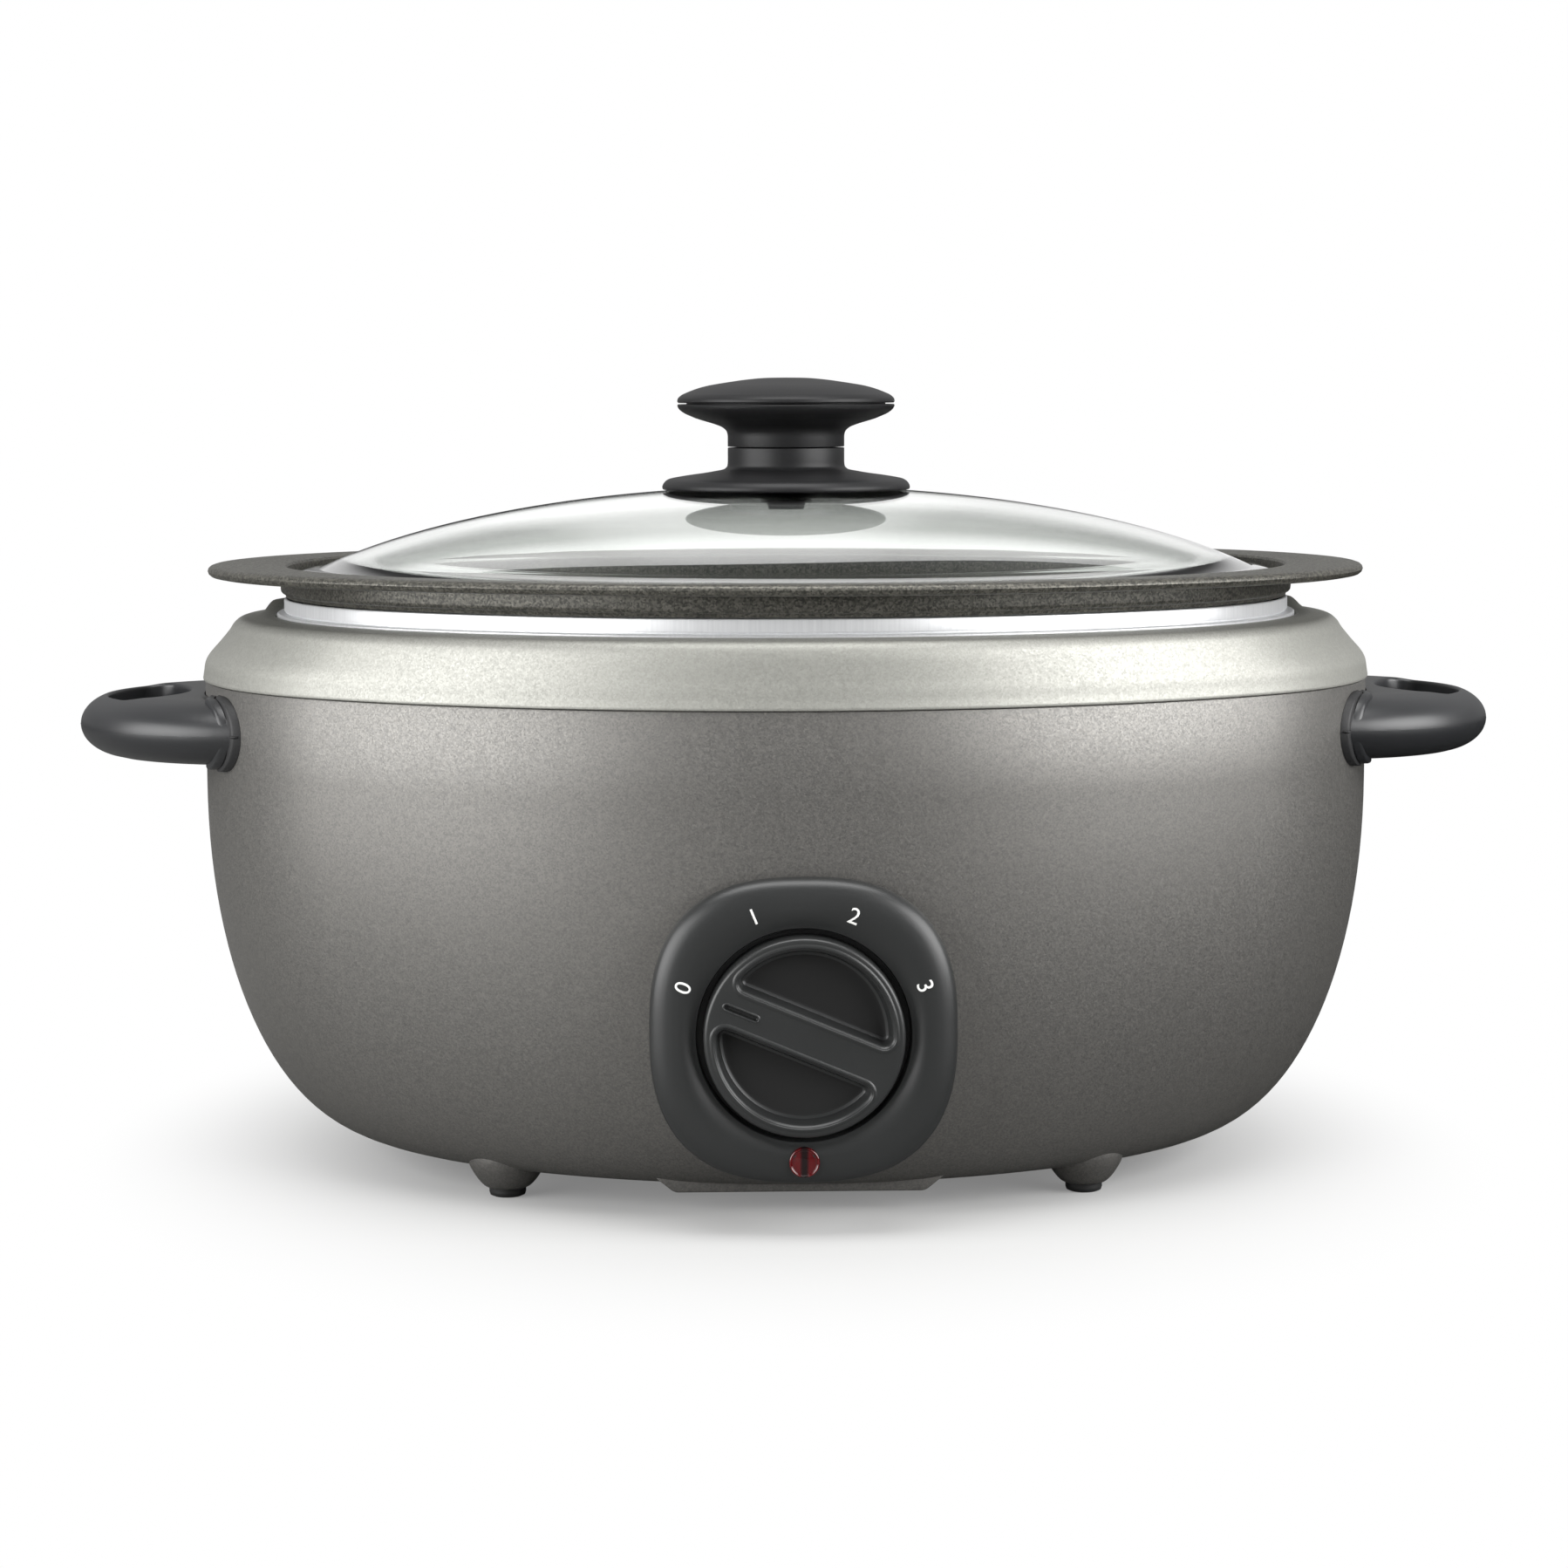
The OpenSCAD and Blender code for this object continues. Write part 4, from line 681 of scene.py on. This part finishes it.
flare = curve_through([(NECK_R, -10.4), (NECK_R + 0.15, -9.4), (19.5, -8.6), (20.2, -7.9), (21.1, -7.3),
                       (22.6, -6.7), (24.4, -6.1), (26.3, -5.55), (28.1, -5.0), (29.7, -4.45), (31.1, -3.85),
                       (32.4, -3.3), (33.4, -2.75), (34.3, -2.1), (34.9, -1.5), (35.25, -0.9),
                       (KNOB_R, -0.3)], 3)
grip = [(0, SPLIT_Z + 0.05), (NECK_R - 0.2, SPLIT_Z + 0.05), (NECK_R - 0.05, SPLIT_Z + 0.1),
        (NECK_R, SPLIT_Z + 0.25)]
grip += [(r, PARTING_Z + z) for r, z in flare]
grip += [(KNOB_R - 0.3, PARTING_Z), (KNOB_R - 3.2, PARTING_Z), (KNOB_R - 3.4, PARTING_Z - 1.2),
         (12, PARTING_Z - 4), (0, PARTING_Z - 4)]
piece("grip", lathe(grip), charcoal, "lid", "knob_plastic", "knob_grip")

skirt = curve_through([(37.6, -0.75), (38.6, -1.0), (39.6, -1.02), (40.2, -0.8), (BASE_R, -0.25), (40.3, 0.4),
                       (40.0, 1.0), (39.6, 1.5), (39.0, 2.05), (37.8, 2.6), (35.0, 3.15), (31.2, 3.75),
                       (27.2, 4.3), (23.4, 4.95), (20.6, 5.5), (19.6, 6.1), (19.15, 6.8), (NECK_R, 8.2)], 4)
base = [(0, 1.6), (12, 1.6), (34, 1.0)] + skirt
base += [(NECK_R, 12.4), (NECK_R - 0.05, 12.55), (NECK_R - 0.2, 12.6), (0, 12.6)]
piece("base_disc", lathe([(r, CROWN_Z + z) for r, z in base]), charcoal, "lid", "knob_plastic", "knob_base")


# ---------------------------------------------------------------- side handles
# Two solid phenolic loops with an open finger hole, screwed to the body from inside. The nose is a flat
# half ellipse, a mould line runs round its middle, and the root has a thin flange over the gasket.
HANDLE_Z = 140.6
HANDLE_H = 10.1
PUCK_X = 170.0
PUCK_R = 59.93
NOSE = 14.0
HOLE_X = 208.0
HOLE_HALF_W, HOLE_HALF_L = 13.0, 30.0
HOLE_EDGE = 1.4
ROOT_GAP = 0.4
ROOT_L, ROOT_H, ROOT_T = 118.0, 22.6, 2.4
GASKET_L, GASKET_H, GASKET_T = 122.0, 23.8, 2.4
NUB_Y = 60.6
LINE_IN, LINE_OUT, LINE_H = 0.1, 0.16, 0.14


def end_arc(out):
    """Radius and centre of the body's end wall, moved out by a thickness."""
    end = END_SHARE * (BODY_B + out) ** 2 / (BODY_A + out)
    return end, BODY_A + out - end


def wall_x(y, out):
    """Where the body's end wall, moved out by a thickness, stands at a distance y from the middle."""
    end, centre = end_arc(out)
    return centre + math.sqrt(end * end - y * y)


def handle_skin():
    """The loop as rings from the finger hole's edge out over the top to the outline, and back below."""
    end, centre = end_arc(ROOT_GAP)

    def span(turn):
        """Where a ring's point starts at the hole, which way it goes, and how far until the outline."""
        v, u = oval_point(HOLE_HALF_L, HOLE_HALF_W, turn)
        start = Vector((HOLE_X - u, v))
        aim = Vector((-u, v)).normalized()
        free = Vector((PUCK_X, 0)) - start
        along = free.dot(aim)
        reach = along + math.sqrt(max(0, PUCK_R ** 2 - free.length_squared + along ** 2))
        toward = Vector((centre, 0)) - start
        near = toward.dot(aim)
        inside = end ** 2 - toward.length_squared + near ** 2
        if near > 0 and inside > 0:
            reach = min(reach, near - math.sqrt(inside))
        return start, aim, reach

    def ring(share, side, drop=0.0, gap=0.0):
        """A ring at a share of the way to the outline, on the top (side 1) or the bottom (-1)."""
        def place(turn):
            start, aim, reach = span(turn)
            spot = start + aim * (gap + (reach - gap) * share)
            off = (spot - Vector((PUCK_X, 0))).length - (PUCK_R - NOSE)
            height = HANDLE_H * math.sqrt(max(0, 1 - (max(0, off) / NOSE) ** 2)) - drop
            return spot.x, spot.y, HANDLE_Z + side * max(height, 0)
        return place

    shares = [0.5 - 0.5 * math.cos(math.pi * i / 30) for i in range(31)]
    edge = [(0.0, HOLE_EDGE), (0.1, 0.85), (0.4, 0.4), (0.85, 0.1)]
    top, low = ([ring(0, side, drop, gap) for gap, drop in edge]
                + [ring(share, side, 0, HOLE_EDGE) for share in shares] for side in (1, -1))
    return skin(top + low[::-1], points=160)


def root_plate(length, height, inner, outer, soften):
    """A long rounded plate that hugs the end wall, as the handle's flange and its gasket do."""
    straight = (length - height) / 2

    def ring(inset, out):
        def place(turn):
            r = height / 2 - inset
            y = math.copysign(straight, math.cos(turn)) + r * math.cos(turn)
            return wall_x(y, out), y, HANDLE_Z + r * math.sin(turn)
        return place
    return skin([ring(height / 2, inner), ring(0, inner), ring(0, outer - soften),
                 ring(0.3 * soften, outer - 0.3 * soften), ring(soften, outer), ring(height / 4, outer),
                 ring(height / 2, outer)], points=96)


def mould_line():
    """The hair-thin bead left round the nose where the tool's halves met, with open ends."""
    def place(vertices, out, z):
        for vertex in vertices:
            turn = math.atan2(vertex.co.y, vertex.co.x - PUCK_X)
            r = PUCK_R - LINE_IN + out
            vertex.co = (PUCK_X + r * math.cos(turn), r * math.sin(turn), HANDLE_Z - LINE_H / 2 + z)

    bm = bmesh.new()
    bmesh.ops.create_circle(bm, segments=120, radius=PUCK_R)
    bmesh.ops.translate(bm, vec=(PUCK_X, 0, 0), verts=bm.verts)
    place(bm.verts, 0, 0)
    hidden = [v for v in bm.verts if v.co.x < wall_x(v.co.y, GASKET_T)]
    bmesh.ops.delete(bm, geom=hidden, context="VERTS")
    line = bm.edges[:]
    for out, z in ((LINE_OUT, 0.02), (LINE_OUT, LINE_H - 0.02), (0, LINE_H)):
        grown = bmesh.ops.extrude_edge_only(bm, edges=line)["geom"]
        line = [part for part in grown if isinstance(part, bmesh.types.BMEdge)
                and len(part.link_faces) == 1 and all(v in grown for v in part.verts)]
        place({v for edge in line for v in edge.verts}, out, z)
    return bm


charcoal_moulding = moulded_plastic("charcoal_handle_phenolic", "#212224", 0.38, 0.5, 0.62)
seal_rubber = moulded_plastic("dark_silicone_rubber", "#232324", 0.55, 0.5)
for side, name in ((1, "right"), (-1, "left")):
    bm = handle_skin()
    merge(bm, root_plate(ROOT_L, ROOT_H, GASKET_T + 0.3, GASKET_T + 0.3 + ROOT_T, 0.9))
    merge(bm, mould_line())
    gasket = root_plate(GASKET_L, GASKET_H, 0.1, GASKET_T, 0.5)
    for nub_y in (-NUB_Y, NUB_Y):
        nub = bmesh.new()
        bmesh.ops.create_uvsphere(nub, u_segments=12, v_segments=8, radius=1)
        bmesh.ops.scale(nub, vec=(1.6, 1.1, 0.5), verts=nub.verts)
        bmesh.ops.translate(nub, vec=(wall_x(nub_y, 1.6), nub_y, HANDLE_Z), verts=nub.verts)
        merge(gasket, nub)
    for half in (bm, gasket):
        bmesh.ops.scale(half, vec=(side, 1, 1), verts=half.verts)
    piece("loop_handle_" + name, bm, charcoal_moulding, "housing", "charcoal_plastic", "handle_" + name)
    piece("handle_seal_" + name, gasket, seal_rubber, "housing", "gasket_rubber", "gasket_" + name)


# ---------------------------------------------------------------- control bezel
# A squarish moulded surround with a rolled outer edge. Its face dishes in to a round well, which
# leaves a dark ring of clearance round the dial. Four printed numbers mark the settings.
BEZEL_FRONT = -151.0
DIAL_X, DIAL_Z = 0.0, 60.5
DIAL_R = 29.5
CREST = 8.8
WELL_R = DIAL_R + 1.9
DISH_R = WELL_R + 1.2
WELL_FLOOR = -143.4
SHAFT_HOLE_R = 5.0


def blend_ring(inset, radius, share, y):
    """A ring between the bezel's outline and the well's circle."""
    def ring(turn):
        x, _, z = squarish(inset, y)(turn)
        polar = math.atan2(z - DIAL_Z, x - DIAL_X)
        cx, cz = DIAL_X + radius * math.cos(polar), DIAL_Z + radius * math.sin(polar)
        return x + (cx - x) * share, y, z + (cz - z) * share
    return ring


def dish_depth(t):
    """Depth of the bezel's face from its crest, t = 0, down the dish to the well, t = 1."""
    return BEZEL_FRONT + 1.5 * t * t * (1.4 - 0.4 * t)


rolled = [(0, 0), (0, 1.2), (0.25, 2.3), (0.8, 3.3), (1.7, 4.2), (3.0, 4.95), (4.7, 5.5), (6.7, 5.85)]
well = [(WELL_R + 0.35, dish_depth(1) + 0.25), (WELL_R, dish_depth(1) + 0.9), (WELL_R, WELL_FLOOR),
        (SHAFT_HOLE_R, WELL_FLOOR), (SHAFT_HOLE_R, WELL_FLOOR + 2), (DISH_R, WELL_FLOOR + 2),
        (DISH_R, PANEL_Y)]
bm = skin([squarish(3, PANEL_Y)] + [squarish(inset, PANEL_Y - out) for inset, out in rolled]
          + [blend_ring(CREST, DISH_R, i / 9, dish_depth(i / 9)) for i in range(10)]
          + [blend_ring(CREST, radius, 1, y) for radius, y in well], points=180)
charcoal_bezel = moulded_plastic("charcoal_bezel_abs", "#262727", 0.36, 0.3)
piece("bezel", bm, charcoal_bezel, "housing", "charcoal_plastic", "control_bezel")

MARK_R = 38.0
MARK_H = 4.9
CAPITAL_SHARE = 0.70
FIRST_MARK = 157.5
MARK_STEP = 45.0
INK_T, INK_OUT = 0.03, 0.05
CUT_STEP = 0.5


def face_depth(x, z):
    """Depth of the bezel's face at a place measured from the dial's middle."""
    across = abs(x / (BEZEL_W / 2 - CREST)) ** SQUARENESS
    upright = abs((z + DIAL_Z - BEZEL_Z) / (BEZEL_H / 2 - CREST)) ** SQUARENESS
    length = math.hypot(x, z)
    outline = length / (across + upright) ** (1 / SQUARENESS)
    return dish_depth(max(0, min(1, (outline - length) / (outline - DISH_R))))


ink = moulded_plastic("white_pad_print", "#E4E4E2", 0.5, 0.4)
numbers = bmesh.new()
for k in range(4):
    lettering = bpy.data.curves.new("mark", "FONT")
    lettering.body = str(k)
    lettering.size = MARK_H / CAPITAL_SHARE
    lettering.align_x, lettering.align_y = "CENTER", "CENTER"
    lettering.extrude = INK_T
    lettering.resolution_u = 6
    holder = bpy.data.objects.new("mark", lettering)
    bpy.context.scene.collection.objects.link(holder)
    flat = bmesh.new()
    flat.from_mesh(holder.to_mesh())
    holder.to_mesh_clear()
    bpy.data.objects.remove(holder)
    bpy.data.curves.remove(lettering)
    # cut small, so that it can follow the dish
    for cut in range(-5, 6):
        for normal in ((1, 0, 0), (0, 1, 0)):
            bmesh.ops.bisect_plane(flat, geom=flat.verts[:] + flat.edges[:] + flat.faces[:], dist=1e-4,
                                   plane_co=[c * cut * CUT_STEP for c in normal], plane_no=normal)
    angle = math.radians(FIRST_MARK - MARK_STEP * k)
    bmesh.ops.rotate(flat, cent=(0, 0, 0), matrix=Matrix.Rotation(angle - math.pi / 2, 3, "Z"),
                     verts=flat.verts)
    bmesh.ops.translate(flat, vec=(MARK_R * math.cos(angle), MARK_R * math.sin(angle), 0), verts=flat.verts)
    tip_over(flat, 90, 0, 0)
    for vertex in flat.verts:
        x, y, z = vertex.co
        vertex.co = (x + DIAL_X, face_depth(x, z) - INK_OUT + y, z + DIAL_Z)
    merge(numbers, flat)
piece("setting_numbers", numbers, ink, "housing", "charcoal_plastic")


# ---------------------------------------------------------------- pilot lamp
# A clear red polycarbonate lens with a raised rim, pushed into the bezel under the dial. Its colour
# carries one dark upright band of painted shade for the unlit hollow of the neon behind it.
LAMP_Z = 23.2
LAMP_R = 4.5
LENS_BACK, LENS_RIM = 144.6, 151.55
SHADE_BAND_WAVES = 0.045


def clear_red():
    """Clear red polycarbonate, with painted shade in one upright band down its middle for the unlit hollow
    behind.
    """
    material, tree = new_material("red_polycarbonate_painted_shade")
    place = add(tree, "TexCoord")
    band = add(tree, "TexWave", {"Scale": SHADE_BAND_WAVES / MM, "Distortion": 0.0},
               {"Vector": place.outputs["Object"]}, bands_direction="X", wave_profile="SIN")
    shade = add(tree, "MapRange", between(0.04, 0.4), {"Value": band.outputs["Fac"]}, **SMOOTH)
    # the dark end of this mix is painted shade: the upright band that stands for the unlit hollow behind the
    # lens
    tint = add(tree, "Mix", {6: linear("#120203"), 7: linear("#4E080C")}, {0: shade.outputs[0]},
               data_type="RGBA")
    relief = add(tree, "Bump", {"Strength": 0.25, "Distance": 0.3 * MM}, {"Height": band.outputs["Fac"]})
    shader = add(tree, "BsdfPrincipled",
                 {"Roughness": 0.12, "IOR": 1.58, "Coat Weight": 0.6, "Coat Roughness": 0.05},
                 {"Base Color": tint.outputs[2], "Normal": relief.outputs[0]})
    add(tree, "OutputMaterial", links={"Surface": shader.outputs[0]})
    return material


rim = curve_through([(LAMP_R, LENS_RIM - 0.55), (LAMP_R - 0.08, LENS_RIM - 0.2), (LAMP_R - 0.3, LENS_RIM),
                     (LAMP_R - 0.55, LENS_RIM - 0.1), (LAMP_R - 0.75, LENS_RIM - 0.4),
                     (LAMP_R - 1.0, LENS_RIM - 0.6), (2.2, LENS_RIM - 0.4), (1.1, LENS_RIM - 0.27),
                     (0, LENS_RIM - 0.25)], 3)
bm = lathe([(0, LENS_BACK), (LAMP_R, LENS_BACK)] + rim, 64)
tip_over(bm, 90, 0, LAMP_Z)
piece("lens", bm, clear_red(), "housing", "red_lens", "lamp_lens")


# ---------------------------------------------------------------- dial
# A moulded disc with a grip bar between two D-shaped finger pockets. Each pocket has a fine rolled
# lip, and a slot moulded in the bar's end points at the settings.
DIAL_FRONT = 155.0
DIAL_BACK = 144.3
FACE = DIAL_FRONT - 0.35
POCKET_DEPTH = 6.6
RIM_W = 2.7
BAR_HALF = 5.2
POCKET_CORNER = 3.6
LIP_OUT = 1.1
SLOT_X, SLOT_HALF, SLOT_R = -20.0, 4.6, 0.85


def pocket(inset, side):
    """Points round a D-shaped pocket with rounded corners, made smaller by inset."""
    r = DIAL_R - RIM_W - inset
    c = max(POCKET_CORNER - inset, 0.6)
    v = BAR_HALF + inset + c
    u = math.sqrt((r - c) ** 2 - v * v)
    lean = math.atan2(v, u)
    bends = [-math.pi / 2 + (lean + math.pi / 2) * i / 8 for i in range(9)]
    corner = [(u + c * math.cos(t), v + c * math.sin(t)) for t in bends]
    sweeps = [lean + (math.pi - 2 * lean) * i / 40 for i in range(1, 40)]
    arc = [(r * math.cos(t), r * math.sin(t)) for t in sweeps]
    points = corner + arc + [(-x, y) for x, y in corner[::-1]]
    return [(side * x, side * y) for x, y in points]


def slot(inset):
    """Points round the pointer's slot, made smaller by inset."""
    r = SLOT_R - inset
    ends = [math.pi / 2 - math.pi * i / 8 for i in range(9)]
    return ([(SLOT_X + SLOT_HALF + r * math.cos(t), r * math.sin(t)) for t in ends]
            + [(SLOT_X - SLOT_HALF - r * math.cos(t), -r * math.sin(t)) for t in ends])


def disc(inset):
    """Points round the dial's rim, made smaller by inset."""
    turns = [2 * math.pi * i / 144 for i in range(144)]
    return [(math.cos(t) * (DIAL_R - inset), math.sin(t) * (DIAL_R - inset)) for t in turns]


def loop(bm, points, z):
    """A closed line of vertices at a height."""
    line = [bm.verts.new((x, y, z)) for x, y in points]
    return line, [bm.edges.new((p, q)) for p, q in zip(line, line[1:] + line[:1])]


def walls(bm, line, shape, steps):
    """Joins a loop to further loops of the same shape, each (inset, height), and closes the last."""
    for inset, z in steps:
        lower, _ = loop(bm, shape(inset), z)
        for p, q, r, s in zip(line, line[1:] + line[:1], lower[1:] + lower[:1], lower):
            bm.faces.new((p, q, r, s))
        line = lower
    bm.faces.new(line)


bm = bmesh.new()
outer_line, outer_edges = loop(bm, disc(1.2), FACE)
upper_line, upper_edges = loop(bm, pocket(-LIP_OUT, 1), FACE)
lower_line, lower_edges = loop(bm, pocket(-LIP_OUT, -1), FACE)
slot_line, slot_edges = loop(bm, slot(-0.5), FACE)
bmesh.ops.triangle_fill(bm, edges=outer_edges + upper_edges + lower_edges + slot_edges, use_beauty=True,
                        use_dissolve=False, normal=(0, 0, 1))
floor_z = DIAL_FRONT - POCKET_DEPTH
steps = [(-0.95, FACE + 0.03), (-0.75, FACE + 0.16), (-0.5, FACE + 0.29), (-0.2, DIAL_FRONT),
         (0.05, DIAL_FRONT - 0.03), (0.25, DIAL_FRONT - 0.2), (0.4, DIAL_FRONT - 0.6),
         (0.9, DIAL_FRONT - 1.0), (1.2, DIAL_FRONT - 1.6), (1.7, floor_z + 1.4), (2.1, floor_z + 0.5),
         (2.9, floor_z + 0.1), (3.5, floor_z)]
walls(bm, upper_line, lambda inset: pocket(inset, 1), steps)
walls(bm, lower_line, lambda inset: pocket(inset, -1), steps)
walls(bm, slot_line, slot, [(-0.35, FACE + 0.1), (-0.1, FACE + 0.18), (0.1, FACE + 0.1), (0.25, FACE - 0.3),
                            (0.4, FACE - 1.1), (0.55, FACE - 1.2)])
walls(bm, outer_line, disc, [(0.8, FACE - 0.08), (0.45, FACE - 0.3), (0.2, FACE - 0.65), (0.05, FACE - 1.1),
                             (0, FACE - 1.7), (0, DIAL_BACK)])
bmesh.ops.rotate(bm, cent=(0, 0, 0), matrix=Matrix.Rotation(math.radians(FIRST_MARK - 180), 3, "Z"),
                 verts=bm.verts)
tip_over(bm, 90, DIAL_X, DIAL_Z)
charcoal_dial = moulded_plastic("charcoal_dial_abs", "#272828", 0.34, 0.3)
dial = piece("dial", bm, charcoal_dial, "dial", "charcoal_plastic", "dial_knob", sharp=28)
# the pockets' floors get a rougher, matt finish, and their darker colour is painted shade for the deep recess
dial.data.materials.append(moulded_plastic("matt_abs_painted_pocket_shade", "#191919", 0.62, 0.5, 0.3))
for face in dial.data.polygons:
    face.material_index = int(abs(face.center.y / MM + floor_z) < 0.12 and face.normal.y < -0.9)


# ---------------------------------------------------------------- what is left of the frame
# Pads, base plate, gland, switch, heater and fasteners keep their own solids. Each is dressed in
# the finish that such a part has.
def dress(material, *nodes):
    """Gives CAD nodes a finish."""
    for name in nodes:
        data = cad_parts[name].data
        data.materials.clear()
        data.materials.append(material)


def plated_steel():
    """Zinc-plated mild steel: pale and faintly streaked."""
    material, tree = new_material("zinc_plated_steel")
    place = add(tree, "TexCoord")
    streaks = add(tree, "TexNoise", {"Scale": 1 / (1.2 * MM), "Detail": 3.0},
                  {"Vector": place.outputs["Object"]})
    tint = add(tree, "Mix", {6: linear("#9C9EA2"), 7: linear("#C9CACC")}, {0: streaks.outputs["Fac"]},
               data_type="RGBA")
    rough = add(tree, "MapRange", between(0, 1, 0.28, 0.45), {"Value": streaks.outputs["Fac"]})
    shader = add(tree, "BsdfPrincipled", {"Metallic": 1.0},
                 {"Base Color": tint.outputs[2], "Roughness": rough.outputs[0]})
    add(tree, "OutputMaterial", links={"Surface": shader.outputs[0]})
    return material


dress(plated_steel(), "band_clamp", "base_screws", "centre_stud", "centre_nut", "bezel_screws", "switch_nut",
      "lamp_clip", "handle_screws", "switch_shaft")
dress(moulded_plastic("black_oxide_steel", "#1B1B1C", 0.4, 0.6), "knob_screw", "knob_washer")
dress(moulded_plastic("black_polypropylene", "#1D1D1E", 0.5, 0.6), "base_plate", "cord_gland", "gland_nut")
dress(moulded_plastic("black_foot_rubber", "#131313", 0.7, 0.8), "foot_pads", "lid_seal")
dress(moulded_plastic("cream_steatite", "#E0DCCF", 0.35, 0.5), "rotary_switch", "terminal_block",
      "thermal_fuse", "lamp_holder")
dress(moulded_plastic("grey_mica", "#A09A8C", 0.6, 1.5), "heater_band")
dress(moulded_plastic("brown_phenolic", "#7E5433", 0.45, 0.5), "switch_rotor")
dress(moulded_plastic("glass_fibre_sleeve", "#B9563C", 0.7, 0.7), "wiring_leads")
dress(moulded_plastic("neon_capsule", "#D9A48A", 0.15, 0.8), "neon_lamp")
